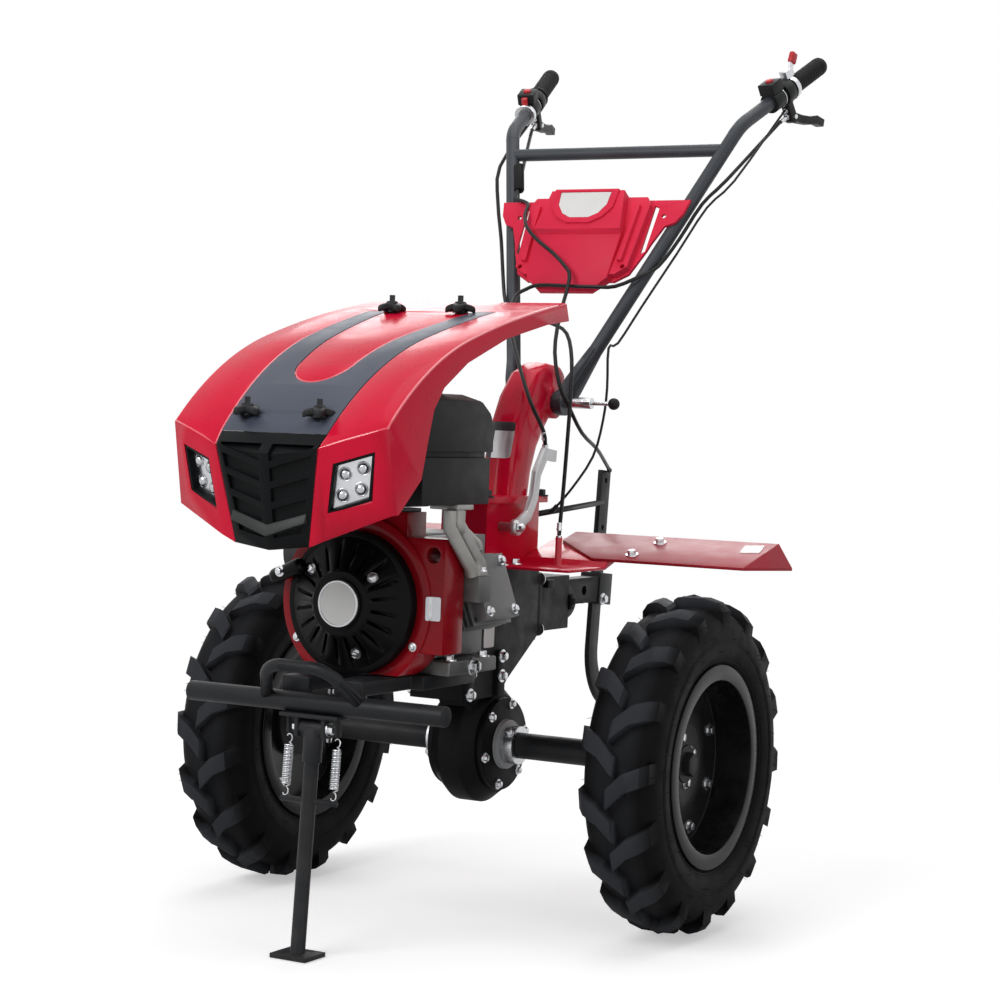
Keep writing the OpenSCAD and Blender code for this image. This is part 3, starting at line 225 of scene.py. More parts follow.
# one entry per finish: tones as linear colour, roughness band, grain size and depth
finishTable = {
    "crimsonPaint": tones((0.7, 0.006, 0.04), (0.6, 0.005, 0.031), (0.26, 0.34), 260, 0.03, coat=0.1,
                          shine=0.1),
    # a paler, glossier crimson for the upward crease bevels: a painted highlight
    "crimsonPaintedHighlight": tones((0.86, 0.07, 0.11), (0.8, 0.05, 0.09), (0.1, 0.16), 260, 0.0, coat=1.0, shine=0.5),
    "columnPaint": tones((0.76, 0.006, 0.042), (0.65, 0.005, 0.033), (0.2, 0.28), 240, 0.05, coat=0.16,
                         shine=0.12),
    "fenderPaint": tones((0.4, 0.016, 0.032), (0.34, 0.012, 0.024), (0.34, 0.44), 240, 0.04, coat=0.03,
                         shine=0.16),
    "shroudPaint": tones((0.36, 0.004, 0.012), (0.27, 0.003, 0.009), (0.26, 0.36), 300, 0.05, coat=0.15,
                         shine=0.15),
    "dashPlastic": tones((0.8, 0.03, 0.08), (0.72, 0.026, 0.068), (0.34, 0.44), 700, 0.08, shine=0.1),
    "barPaint": tones((0.02, 0.021, 0.024), (0.013, 0.014, 0.016), (0.34, 0.48), 500, 0.1, dust=0.14,
                      shine=0.16),
    "castPaint": tones((0.009, 0.0093, 0.0102), (0.005, 0.0053, 0.006), (0.38, 0.55), 220, 0.3, dust=0.06,
                       shine=0.09),
    "rimPaint": tones((0.006, 0.006, 0.0065), (0.004, 0.004, 0.0043), (0.2, 0.32), 300, 0.05, coat=0.1,
                      dust=0.05, shine=0.14),
    "handlePaint": tones((0.052, 0.058, 0.068), (0.038, 0.043, 0.051), (0.36, 0.46), 900, 0.16, shine=0.3),
    "panelPlastic": tones((0.062, 0.072, 0.104), (0.048, 0.056, 0.081), (0.4, 0.5), 1100, 0.12, shine=0.3),
    "mouldedBlack": tones((0.017, 0.0175, 0.019), (0.012, 0.0125, 0.0135), (0.38, 0.52), 1100, 0.14,
                          shine=0.16),
    "boxPlastic": tones((0.012, 0.0125, 0.0135), (0.008, 0.0084, 0.009), (0.42, 0.55), 800, 0.2,
                        shine=0.14),
    "castAlloy": tones((0.4, 0.395, 0.38), (0.27, 0.266, 0.255), (0.42, 0.56), 300, 0.3, metal=0.5),
    "zincPlate": tones((0.74, 0.75, 0.77), (0.58, 0.59, 0.61), (0.2, 0.34), 420, 0.06, metal=1.0),
    "armSteel": tones((0.68, 0.69, 0.7), (0.56, 0.57, 0.58), (0.36, 0.46), 380, 0.1, metal=0.55),
    "mufflerSteel": tones((0.05, 0.05, 0.052), (0.03, 0.03, 0.031), (0.5, 0.62), 350, 0.2, metal=0.6,
                          shine=0.3),
    # lug: the paler tone of the lug faces, a painted sheen
    "tyreRubber": tones((0.005, 0.0051, 0.0055), (0.003, 0.003, 0.0033), (0.5, 0.66), 420, 0.28, dust=0.02,
                        shine=0.06, lug=(0.032, 0.034, 0.039)),
    "gripRubber": tones((0.01, 0.01, 0.0105), (0.007, 0.007, 0.0075), (0.5, 0.62), 600, 0.25, shine=0.12),
    "cableSheath": tones((0.012, 0.012, 0.0125), (0.008, 0.008, 0.0085), (0.32, 0.42), 500, 0.05,
                         shine=0.2),
    "lampSilver": tones((0.62, 0.63, 0.65), (0.46, 0.47, 0.49), (0.16, 0.28), 900, 0.1, metal=1.0),
    "plateWhite": tones((0.8, 0.8, 0.79), (0.74, 0.74, 0.73), (0.3, 0.4), 600, 0.03),
    "plateSilver": tones((0.62, 0.63, 0.65), (0.5, 0.51, 0.53), (0.3, 0.4), 700, 0.05, metal=0.8),
    "sealGrey": tones((0.42, 0.43, 0.44), (0.34, 0.35, 0.36), (0.4, 0.5), 500, 0.1),
    "darkAlloy": tones((0.2, 0.202, 0.2), (0.1, 0.101, 0.1), (0.42, 0.58), 260, 0.35, metal=0.6),
    "starterBlack": tones((0.0045, 0.0045, 0.005), (0.003, 0.003, 0.0034), (0.26, 0.36), 500, 0.06,
                          shine=0.09),
    "grilleBlack": tones((0.006, 0.0066, 0.0074), (0.004, 0.0044, 0.005), (0.34, 0.46), 1000, 0.14,
                         shine=0.08),
    # pale grey of the grille's chevron: painted light on an upward face
    "grilleGrey": tones((0.034, 0.038, 0.038), (0.024, 0.027, 0.027), (0.36, 0.46), 1000, 0.14, shine=0.2),
    "lensGloss": tones((0.5, 0.51, 0.53), (0.4, 0.41, 0.43), (0.06, 0.1), 300, 0.0, metal=0.9, coat=1.0),
    "plateDark": tones((0.035, 0.036, 0.04), (0.025, 0.026, 0.029), (0.26, 0.36), 600, 0.03),
    "buttonRed": tones((0.6, 0.01, 0.02), (0.5, 0.008, 0.016), (0.28, 0.36), 700, 0.05),
}
dustTone = (0.16, 0.14, 0.115)
grainStep = 0.0004  # bump distance of one grain, in metres


def makeFinish(name, look):
    finish = bpy.data.materials.new(name)
    finish.use_nodes = True
    tree = finish.node_tree
    shader = tree.nodes["Principled BSDF"]
    skin = placeGroup(tree, skinGroup, Light_Tone=look["light"], Dark_Tone=look["dark"],
                      Rough_Low=look["rough"][0], Rough_High=look["rough"][1],
                      Grain_Scale=float(look["grain"]))
    colour = skin.outputs["Color"]
    rough = skin.outputs["Roughness"]
    # paler lug faces, a painted sheen
    if look.get("lug"):
        lugs = placeGroup(tree, lugSheenGroup, Lug=look["lug"])
        tree.links.new(colour, lugs.inputs["Casing"])
        colour = lugs.outputs["Color"]
    if look.get("dust"):
        dust = placeGroup(tree, dustGroup, Dust=dustTone, Top=0.42, Amount=look["dust"])
        tree.links.new(colour, dust.inputs["Clean"])
        colour = dust.outputs["Color"]
        rough = mathOf(tree, "ADD", rough, mathOf(tree, "MULTIPLY", dust.outputs["Mask"], 0.8))
    tree.links.new(colour, shader.inputs["Base Color"])
    tree.links.new(rough, shader.inputs["Roughness"])
    shader.inputs["Metallic"].default_value = look.get("metal", 0.0)
    shader.inputs["Specular IOR Level"].default_value = look.get("shine", 0.5)
    if look.get("coat"):
        shader.inputs["Coat Weight"].default_value = look["coat"]
        shader.inputs["Coat Roughness"].default_value = 0.06
    bump = tree.nodes.new("ShaderNodeBump")
    bump.inputs["Strength"].default_value = look["depth"]
    bump.inputs["Distance"].default_value = grainStep
    tree.links.new(skin.outputs["Grain"], bump.inputs["Height"])
    tree.links.new(bump.outputs["Normal"], shader.inputs["Normal"])
    return finish


finishes = {name: makeFinish(name, look) for name, look in finishTable.items()}
print("finishes made:", len(finishes))


# a finished bmesh becomes a piece on a body, with its place in its mesh
def addPiece(name, bm, body, finish, sharp=38, instead=()):
    mesh = bpy.data.meshes.new(name)
    bm.to_mesh(mesh)
    bm.free()
    mesh.shade_smooth()
    mesh.set_sharp_from_angle(angle=math.radians(sharp))
    for label in (finish if isinstance(finish, tuple) else (finish,)):
        mesh.materials.append(finishes[label])
    piece = bpy.data.objects.new(name, mesh)
    bpy.context.scene.collection.objects.link(piece)
    if body:
        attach(piece, body)
    if instead:
        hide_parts(*instead)
    return piece


bodyOf = {node: body for body, members in frame["record"]["behaviour"]["bodies"].items()
          for node in members}


def mergedCopy(node):
    bm = bmesh.new()
    bm.from_mesh(nodes[node].data)
    bmesh.ops.remove_doubles(bm, verts=bm.verts, dist=0.00002)
    bmesh.ops.dissolve_limit(bm, angle_limit=math.radians(0.6), verts=bm.verts, edges=bm.edges)
    return bm


def roundEdges(bm, edges, width, segments=2, clamp=False):
    return bmesh.ops.bevel(bm, geom=edges, offset=width, offset_type="OFFSET", affect="EDGES",
                           segments=segments, profile=0.5, material=-1, clamp_overlap=clamp)


# a sheet is drawn out along a vector into a closed slab
def drawOut(bm, vec):
    drawn = bmesh.ops.extrude_face_region(bm, geom=bm.faces[:])["geom"]
    bmesh.ops.translate(bm, verts=[part for part in drawn if isinstance(part, bmesh.types.BMVert)], vec=vec)
    bmesh.ops.recalc_face_normals(bm, faces=bm.faces)


# hard corners of a pressed or cast piece get a small round
def roundCorners(bm, width, least=24, segments=2, highlightSlot=0):
    corners = [edge for edge in bm.edges if len(edge.link_faces) == 2 and edge.calc_length() > width * 1.2
               and edge.calc_face_angle(0) > math.radians(least)]
    if highlightSlot:  # only the creases that face up, which take the painted highlight
        corners = [edge for edge in corners if max(face.normal.z for face in edge.link_faces) > 0.2]
    skin = BVHTree.FromBMesh(bm)
    made = roundEdges(bm, corners, width, segments, clamp=not highlightSlot)
    for vert in made["verts"]:  # a corner that ran past its neighbours goes back to the skin
        near, _, _, gap = skin.find_nearest(vert.co)
        if gap > width:
            vert.co = near
    # upward faces of the new rounds take the given slot, the painted highlight on the bonnet
    for face in made["faces"]:
        face.normal_update()
        if face.normal.z > 0.15:
            face.material_index = highlightSlot
    bmesh.ops.triangulate(bm, faces=[face for face in bm.faces if len(face.verts) > 4])


# the lamp's own axes: across its wall, up it, and into the bonnet
lampLook = {"nose": (0, -569, 690.1), "lean": math.radians(10), "half": 0.080, "turn": math.atan2(30, 85),
            "sink": 9, "back": 27, "lensRows": (0.27, 0.73), "rim": 3.5, "lens": 7.6,
            "quad": ((5, -103), (17, -38), (72, -24), (63, -86))}
lampStand = (Matrix.Translation(place(*lampLook["nose"])) @ Matrix.Rotation(lampLook["lean"], 4, "X")
             @ Matrix.Translation((lampLook["half"], 0, 0)) @ Matrix.Rotation(lampLook["turn"], 4, "Z"))


def lensCentres():
    corners = [Vector(corner) for corner in lampLook["quad"]]
    middle = sum(corners, Vector((0, 0))) / 4
    inner = [corner - (corner - middle).normalized() * lampLook["rim"] for corner in corners]
    for across in lampLook["lensRows"]:
        for up in lampLook["lensRows"]:
            low = inner[0].lerp(inner[3], across)
            spot = low.lerp(inner[1].lerp(inner[2], across), up)
            yield Vector((spot.x / 1000, (lampLook["sink"] + 1) / 1000, spot.y / 1000))


lensSpots = list(lensCentres())


# rigid nodes kept in form: corner round in metres and finish
dressed = {
    "gearbox_case": (0.003, "castPaint"), "axle_covers": (0.0015, ("castPaint", "sealGrey")),
    "clutch_housing": (0.002, "castPaint"), "pto_housing": (0.002, "castPaint"),
    "hitch_bracket": (0.001, "barPaint"), "depth_bar": (0.0008, "barPaint"),
    "engine_bed": (0.002, "barPaint"), "engine_block": (0.003, "darkAlloy"),
    "cylinder_head": (0.0008, "darkAlloy"), "fan_shroud": (0.004, "shroudPaint"),
    "recoil_starter": (0.0012, "starterBlack"), "air_cleaner": (0.004, "boxPlastic"),
    "intake": (0.0015, "castAlloy"), "fuel_tank": (0.008, "boxPlastic"), "muffler": (0.004, "mufflerSteel"),
    "bumper_bar": (0.0012, "barPaint"), "bumper_hoop": (0.0, "barPaint"),
    "stand_bracket": (0.0008, "barPaint"), "bonnet_shell": (0.0022, ("crimsonPaint", "crimsonPaintedHighlight")),
    "bonnet_panel": (0.0015, "panelPlastic"), "grille": (0.0012, "grilleBlack"),
    "bonnet_brackets": (0.0008, "barPaint"), "handle_column": (0.004, "columnPaint"),
    "clutch_arm": (0.0015, "armSteel"), "clamp_lever": (0.0006, ("zincPlate", "mouldedBlack")),
    "fender_left": (0.001, "fenderPaint"), "fender_right": (0.001, "fenderPaint"),
    "fender_brackets": (0.001, "columnPaint"), "axle_left": (0.001, "barPaint"),
    "axle_right": (0.001, "barPaint"), "collar_left": (0.0012, "zincPlate"),
    "collar_right": (0.0012, "zincPlate"), "rim_left": (0.0012, "rimPaint"),
    "rim_right": (0.0012, "rimPaint"), "tyre_left": (0.0022, "tyreRubber"),
    "tyre_right": (0.0022, "tyreRubber"), "stand_leg": (0.001, "barPaint"),
    "handle_tube_left": (0.0, "handlePaint"), "handle_tube_right": (0.0, "handlePaint"),
    "crossbar": (0.0, "handlePaint"), "console": (0.003, "dashPlastic"),
    "hand_levers": (0.0015, "mouldedBlack"), "switch_boxes": (0.002, "mouldedBlack"),
}
creaseHighlight = {"bonnet_shell": 1}  # finish slot that the upward creases take: a paler glossy tone, a painted highlight
swollen = {"hand_levers": 0.0030}  # moulded over, in metres
# where a node shows a second finish, by the middle of a face
zones = {
    "axle_covers": lambda point: 1 if abs(point.x) > 0.0465 else 0,
    "clamp_lever": lambda point: 1 if point.x > 0.1206 else 0,
}


def dressNode(node):
    width, finish = dressed[node]
    bm = mergedCopy(node)
    for vert in bm.verts if node in swollen else ():
        vert.co += vert.normal * swollen[node]
    if width:
        roundCorners(bm, width, highlightSlot=creaseHighlight.get(node, 0))
    if node in zones:
        for face in bm.faces:
            face.material_index = zones[node](face.calc_center_median())
    addPiece("dressed_" + node, bm, bodyOf[node], finish, instead=(node,))


for node in dressed:
    dressNode(node)
print("nodes dressed:", len(dressed))


# small shapes that are stamped in many places
def asShape(bm):
    bmesh.ops.remove_doubles(bm, verts=bm.verts, dist=0.000001)
    bmesh.ops.recalc_face_normals(bm, faces=bm.faces)
    shape = bpy.data.meshes.new("stamp")
    bm.to_mesh(shape)
    bm.free()
    return shape


def standing(point, direction, turn=0.0):
    aim = Vector(direction).to_track_quat("Z", "Y").to_matrix().to_4x4()
    return Matrix.Translation(point) @ aim @ Matrix.Rotation(turn, 4, "Z")


def stamp(bm, shape, stand):
    start = len(bm.verts)
    bm.from_mesh(shape)
    bm.verts.ensure_lookup_table()
    bmesh.ops.transform(bm, matrix=stand, verts=bm.verts[start:])


def beadProfile(radius, swell, height=0.0):  # a closed round of eight steps
    return [(radius + swell * math.cos(turn), height + swell * math.sin(turn))
            for turn in (math.tau * step / 8 for step in range(9))]


def turnedShape(profile, steps=28):  # rows of radius and height in millimetres
    bm = bmesh.new()
    line = [bm.verts.new((radius / 1000, 0, height / 1000)) for radius, height in profile]
    edges = [bm.edges.new(pair) for pair in zip(line, line[1:])]
    bmesh.ops.spin(bm, geom=line + edges, cent=(0, 0, 0), axis=(0, 0, 1), angle=math.tau, steps=steps,
                   use_merge=True)
    return asShape(bm)


def hexShape(across, head):  # a hexagon head on its washer
    bm = bmesh.new()
    foot = 1.4
    corner = across / 1732
    bmesh.ops.create_cone(bm, cap_ends=True, segments=6, radius1=corner, radius2=corner,
                          depth=(head + 1) / 1000,
                          matrix=Matrix.Translation((0, 0, (foot + head / 2 - 0.5) / 1000)))
    top = [edge for edge in bm.edges if all(vert.co.z > (foot + head * 0.9) / 1000 for vert in edge.verts)]
    roundEdges(bm, top, across * 0.1 / 1000)
    bmesh.ops.create_cone(bm, cap_ends=True, segments=20, radius1=across * 0.92 / 1000,
                          radius2=across * 0.88 / 1000, depth=0.0022,
                          matrix=Matrix.Translation((0, 0, 0.0004)))
    return asShape(bm)


def blockShape(size, round_, segments=3):  # a rounded block standing on its foot, sizes in millimetres
    bm = bmesh.new()
    bmesh.ops.create_cube(bm, size=0.001, matrix=Matrix.Translation((0, 0, size[2] / 2000))
                          @ Matrix.Diagonal((*size, 1)))
    roundEdges(bm, bm.edges[:], round_ / 1000, segments)
    return asShape(bm)


def addStamped(name, body, shape, spots, finish="zincPlate", sharp=38):
    bm = bmesh.new()
    for point, direction in spots:
        stamp(bm, shape, standing(point, direction))
    return addPiece(name, bm, body, finish, sharp)


def mirrorSpots(rows):
    for (x, y, z), (dx, dy, dz) in rows:
        for side in (1, -1):
            yield place(side * x, y, z), (side * dx, dy, dz)


def ringSpots(centre, axis, radius, count, start=0.0):  # spots on a circle that lies across the x or y axis
    for step in range(count):
        angle = math.radians(start) + math.tau * step / count
        across, up = radius * math.cos(angle), radius * math.sin(angle)
        offset = (0, across, up) if axis[0] else (across, 0, up)
        yield place(centre[0] + offset[0], centre[1] + offset[1], centre[2] + offset[2]), axis


sizes = {"fine": hexShape(7, 4), "small": hexShape(8.5, 5), "middle": hexShape(11, 6.5),
         "large": hexShape(14, 8.5)}


def addBolts(name, body, size, spots, finish="zincPlate"):
    addStamped(name, body, sizes[size], list(spots), finish, sharp=30)


across, back, front, up = (1, 0, 0), (0, 1, 0), (0, -1, 0), (0, 0, 1)
wheels = ((1, "wheel_right", "Right"), (-1, "wheel_left", "Left"))

# fasteners, rows of place in millimetres from the axle line and the way that the head faces
addBolts("neckBolts", "chassis", "middle",
         mirrorSpots([((47, -109, 321), across), ((47, -109, 351), across), ((47, -18, 342), across),
                      ((47, -18, 371), across)]))
for side, _, label in wheels:
    addBolts("coverBolts" + label, "chassis", "small",
             ringSpots((side * 46, 0, axleUp), (side, 0, 0), 60, 6, 14))
addBolts("housingBolts", "chassis", "middle", mirrorSpots([((37, 107, 478), back), ((37, 107, 402), back)]))
addBolts("clutchBolts", "chassis", "middle",
         mirrorSpots([((54, -128, 482), front), ((54, -128, 385), front)]))
addBolts("baseBolts", "chassis", "middle", [(place(101, -262, 386), up), (place(101, -172, 386), up),
                                            (place(-102, -262, 386), up), (place(-102, -172, 386), up)])
addBolts("drainPlug", "chassis", "large", [(place(112, -216, 376), across)])
addBolts("shroudBolts", "chassis", "fine", ringSpots((0, -345, crankUp), front, 107.5, 3, 90))
starterSpots = [(place(45.8, -375.4, 499.9), (0.33, -0.9, 0.27)),
                (place(20.8, -370.7, 397.5), (0.13, -0.9, -0.41)),
                (place(-54, -369.5, 505), (-0.31, -0.9, 0.27))]
addStamped("starterBosses", "chassis", turnedShape([(0, 1.6), (7.4, 1.6), (8.6, 0.6), (9.2, -5)], 24),
           starterSpots, "starterBlack")
addBolts("starterBolts", "chassis", "small",
         [(spot + Vector(aim) * 0.0014, aim) for spot, aim in starterSpots])
pullLook = {"from": (-124, -362, 490), "to": (-66, -376, 512), "bolt": (-103, -377, 500)}
pullProfile = [(0, 0), (7, 0.4), (10, 3), (11, 8), (10.2, 31), (11, 54), (10, 59), (7, 61.6), (0, 62)]
pullAim = place(*pullLook["to"]) - place(*pullLook["from"])
addStamped("pullGrip", "chassis", turnedShape(pullProfile, 24), [(place(*pullLook["from"]), pullAim)],
           "starterBlack")
addBolts("pullBolt", "chassis", "small", [(place(*pullLook["bolt"]), front)])
addBolts("bracketBolts", "chassis", "middle", mirrorSpots([((58, -9, 506), up), ((58, -48, 506), up)]))
addBolts("footBolts", "chassis", "large", mirrorSpots([((38, -66, 604), up), ((38, 97, 604), up)]),
         "barPaint")
addBolts("armBolt", "chassis", "middle", [(place(70, -23, 560), across)])
addBolts("fenderBolts", "chassis", "middle",
         [(place(side * x, y, 518 + (y - 56) * math.tan(math.radians(15))), (0, -0.259, 0.966))
          for side in (1, -1) for x, y in ((203, 81), (218, 143))])
addBolts("hitchBolts", "chassis", "middle",
         [(place(18, 356, 434), across), (place(-18, 356, 434), (-1, 0, 0))])
addBolts("standPins", "chassis", "middle",
         [(place(24, -436, 301), across), (place(-24, -436, 301), (-1, 0, 0))])
addBolts("intakeNuts", "chassis", "fine", [(place(132, -280, 512), up), (place(116, -270, 512), up),
                                          (place(153, -270, 512), up)])
headLean = math.radians(20)
headFace = (math.cos(headLean), 0, math.sin(headLean))


def headSpot(y, z, depth=56):  # on the leaning head's outer face
    return place(90 + depth * math.cos(headLean) - z * math.sin(headLean), y,
                 467 + depth * math.sin(headLean) + z * math.cos(headLean))


addBolts("headBolts", "chassis", "small",
         [(headSpot(y, z), headFace) for y in (-248, -180) for z in (-32, 38)])
for side, body, label in wheels:
    outward = (side, 0, 0)
    discX = side * (wheelOut - 6)
    addBolts("rimBolts" + label, body, "middle", ringSpots((discX, 0, axleUp), outward, 102, 8, 22))
    addBolts("rimNuts" + label, body, "middle",
             ringSpots((side * (wheelOut - 11), 0, axleUp), (-side, 0, 0), 102, 8, 22))
    addBolts("hubBolts" + label, body, "middle", ringSpots((discX, 0, axleUp), outward, 37, 5, 90))
    addBolts("collarBolt" + label, body, "small", [(place(side * 64, -20, 260), (0, -0.707, 0.707))])
print("fasteners set")


# tyre vent hairs, spread by a golden step so that no two line up
hairLook = {"count": 120, "long": 7.5, "thick": 0.45, "golden": 2.39996}


def addHairs(body, side, label):
    hair = bmesh.new()
    bmesh.ops.create_cone(hair, cap_ends=True, segments=4, radius1=hairLook["thick"] / 1000,
                          radius2=hairLook["thick"] / 2500, depth=hairLook["long"] / 1000,
                          matrix=Matrix.Translation((0, 0, hairLook["long"] / 2500)))
    shape = asShape(hair)
    tree = BVHTree.FromBMesh(mergedCopy("tyre_" + label.lower()))
    centre = place(side * wheelOut, 0, axleUp)
    bm = bmesh.new()
    for step in range(hairLook["count"]):
        angle = step * hairLook["golden"]
        outer = -1 if step % 3 == 0 else 1
        radius = 0.158 + 0.058 * ((step * 7) % 11) / 10
        radial = Vector((0, math.cos(angle), math.sin(angle)))
        start = centre + radial * radius + Vector((side * outer * 0.09, 0, 0))
        spot, normal, _, _ = tree.ray_cast(start, Vector((-side * outer, 0, 0)))
        if spot is not None:
            stamp(bm, shape, standing(spot, normal + radial.cross(normal) * 0.4))
    addPiece("ventHairs" + label, bm, body, "tyreRubber")


# fine raised rings on both walls of a tyre
def addWallRings(body, side, label):
    bm = bmesh.new()
    for radius, x, swell in ((151, 50.2, 1.1), (155.5, 51.8, 0.9), (176, 55.6, 0.9), (180, 55.5, 0.9)):
        ring = turnedShape(beadProfile(radius, swell), 96)
        for wall in (1, -1):
            stamp(bm, ring, standing(place(side * wheelOut + wall * x, 0, axleUp), (wall, 0, 0)))
    addPiece("wallRings" + label, bm, body, "tyreRubber")


for side, body, label in wheels:
    addHairs(body, side, label)
    addWallRings(body, side, label)
    addStamped("hubNut" + label, body, hexShape(30, 12),
               [(place(side * (wheelOut + 4), 0, axleUp), (side, 0, 0))], "barPaint")
print("tyres finished")


# a round wire or tube, drawn out ring by ring along a path
def tubeAlong(bm, points, radius, sides=10):
    heading = (points[1] - points[0]).normalized()
    ring = bmesh.ops.create_circle(bm, segments=sides, radius=radius,
                                   matrix=standing(points[0], heading))["verts"]
    edges = list({edge for vert in ring for edge in vert.link_edges})
    bmesh.ops.edgeloop_fill(bm, edges=edges)
    for index in range(1, len(points)):
        after = points[min(index + 1, len(points) - 1)]
        turned = (after - points[index - 1]).normalized()
        drawn = bmesh.ops.extrude_edge_only(bm, edges=edges)["geom"]
        ring = [part for part in drawn if isinstance(part, bmesh.types.BMVert)]
        edges = [part for part in drawn if isinstance(part, bmesh.types.BMEdge)]
        bmesh.ops.rotate(bm, verts=ring, cent=points[index - 1],
                         matrix=heading.rotation_difference(turned).to_matrix())
        bmesh.ops.translate(bm, verts=ring, vec=points[index] - points[index - 1])
        heading = turned
    bmesh.ops.edgeloop_fill(bm, edges=edges)
    bmesh.ops.recalc_face_normals(bm, faces=bm.faces)


# return springs of the stand: a hook, a close coil and a hook
springLook = {"coil": 0.0055, "wire": 0.00085, "turns": 22, "steps": 14, "hook": 0.0055,
              "top": (38, -436, 290), "low": (38, -443.2, 209)}


def springPath(side):
    top = place(side * springLook["top"][0], *springLook["top"][1:])
    low = place(side * springLook["low"][0], *springLook["low"][1:])
    axis = (low - top).normalized()
    aside = Vector((1, 0, 0))
    ahead = axis.cross(aside).normalized()
    hook = springLook["hook"]
    points = [top + axis * hook * (1 - math.cos(turn)) + aside * hook * math.sin(turn) * 0.8
              for turn in (math.radians(step) for step in range(-60, 181, 30))]
    first, last = top + axis * hook * 2.6, low - axis * hook * 2.6
    count = springLook["turns"] * springLook["steps"]
    for step in range(count + 1):
        turn = math.tau * step / springLook["steps"]
        spot = first.lerp(last, step / count)
        points.append(spot + (aside * math.cos(turn) + ahead * math.sin(turn)) * springLook["coil"])
    points += [low - axis * hook * (1 + math.cos(turn)) + aside * hook * math.sin(turn) * 0.8
               for turn in (math.radians(step) for step in range(0, 241, 30))]
    return points


def addSprings():
    bm = bmesh.new()
    for side in (1, -1):
        wire = bmesh.new()
        tubeAlong(wire, springPath(side), springLook["wire"], 7)
        shape = asShape(wire)
        stamp(bm, shape, Matrix.Identity(4))
    piece = addPiece("standSprings", bm, None, "zincPlate", instead=("stand_springs",))
    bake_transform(piece)


addSprings()


def addCables():
    bm = bmesh.new()
    bm.from_mesh(nodes["cables"].data)
    bmesh.ops.remove_doubles(bm, verts=bm.verts, dist=0.00002)
    bmesh.ops.recalc_face_normals(bm, faces=bm.faces)
    piece = addPiece("controlCables", bm, None, "cableSheath", sharp=60,
                     instead=("cables",))
    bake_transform(piece)


addCables()
print("springs and cables made")

# handlebar end: places along a grip, and how far below its middle line
gripEnd, tubeBend, tubeRoot = Vector((250, 618, 1314)), Vector((205, 406, 1190)), Vector((42.3, 150, 745))
gripDir = (gripEnd - tubeBend).normalized()
gripLevel = Vector((gripDir.x, gripDir.y, 0)).length
gripDown = Vector((gripDir.x * gripDir.z / gripLevel, gripDir.y * gripDir.z / gripLevel, -gripLevel))
gripAside = gripDir.cross(gripDown)
tubeDir = (tubeBend - tubeRoot).normalized()


def onGrip(side, fromEnd, drop=0.0, aside=0.0):
    spot = gripEnd - gripDir * fromEnd + gripDown * drop + gripAside * aside
    return place(side * spot.x, spot.y, spot.z)


def flipped(direction, side):
    return Vector((side * direction.x, direction.y, direction.z))


def gripProfile():
    rows = [(11.4, 0), (18.5, 0), (19, 1), (19, 3), (16, 5.5), (15, 8)]
    for step in range(11):
        foot = 14 + step * 6.4
        rows += [(15, foot), (14.3, foot + 1.2), (14.3, foot + 2.6), (15, foot + 3.8)]
    return rows + [(15, 90), (14.4, 95), (12.4, 98.6), (9, 100), (0, 100.2)]


bothEnds = [(side, flipped(gripDir, side), flipped(-gripDown, side)) for side in (1, -1)]
gripBm = bmesh.new()
for side, along, upward in bothEnds:
    stamp(gripBm, turnedShape(gripProfile(), 36), standing(onGrip(side, 100), along))
addPiece("gripSleeves", gripBm, "handlebar", "gripRubber", instead=("grips",))

buttonProfile = [(0, 4.2), (4.5, 4.0), (6, 3.2), (6.4, 1.8), (6.4, -1)]
addStamped("stopButtons", "handlebar", turnedShape(buttonProfile, 24),
           [(onGrip(side, 147, -31), upward) for side, along, upward in bothEnds], "buttonRed")
addStamped("boxSeams", "handlebar",
           turnedShape([(17.05, -0.7), (17.6, -0.7), (17.6, 0.7), (17.05, 0.7)], 32),
           [(onGrip(side, 136), along) for side, along, upward in bothEnds])

# cable adjusters at the levers and fittings at the lower ends
adjusterProfile = [(0, -1), (4.6, -1), (4.6, 3.5), (3.1, 4), (3.1, 11), (4.2, 11.4), (4.2, 15), (3.6, 15.4),
                   (3.6, 23), (0, 23.5)]
shortProfile = [(0, -1), (4.0, -1), (4.0, 3), (3.3, 3.4), (3.3, 9), (3.0, 11.5), (0, 12)]
addStamped("leverAdjusters", "handlebar", turnedShape(adjusterProfile, 18),
           [(onGrip(side, 123.4, 38), -along) for side, along, upward in bothEnds])
addStamped("wireFerrules", "handlebar", turnedShape(shortProfile, 18),
           [(onGrip(side, 123.4, 28), -along) for side, along, upward in bothEnds])
pivotSpots = [(onGrip(side, 116, 42, aside * 6), flipped(gripAside, side) * aside) for side in (1, -1)
              for aside in (1, -1)]
addBolts("leverPivots", "handlebar", "fine", pivotSpots)
addStamped("lowerFittings", "chassis", turnedShape(adjusterProfile, 18),
           [(place(64, 60, 678), Vector((0, -8, 24))), (place(104, 38, 545), Vector((0, 0, 1)))])
addStamped("wireEnds", "chassis", turnedShape(shortProfile, 18),
           [(place(8, 384, 640), Vector((18, -54, 14.5))), (place(36.5, 140, 580), Vector((23.5, 12, 32)))],
           "cableSheath")

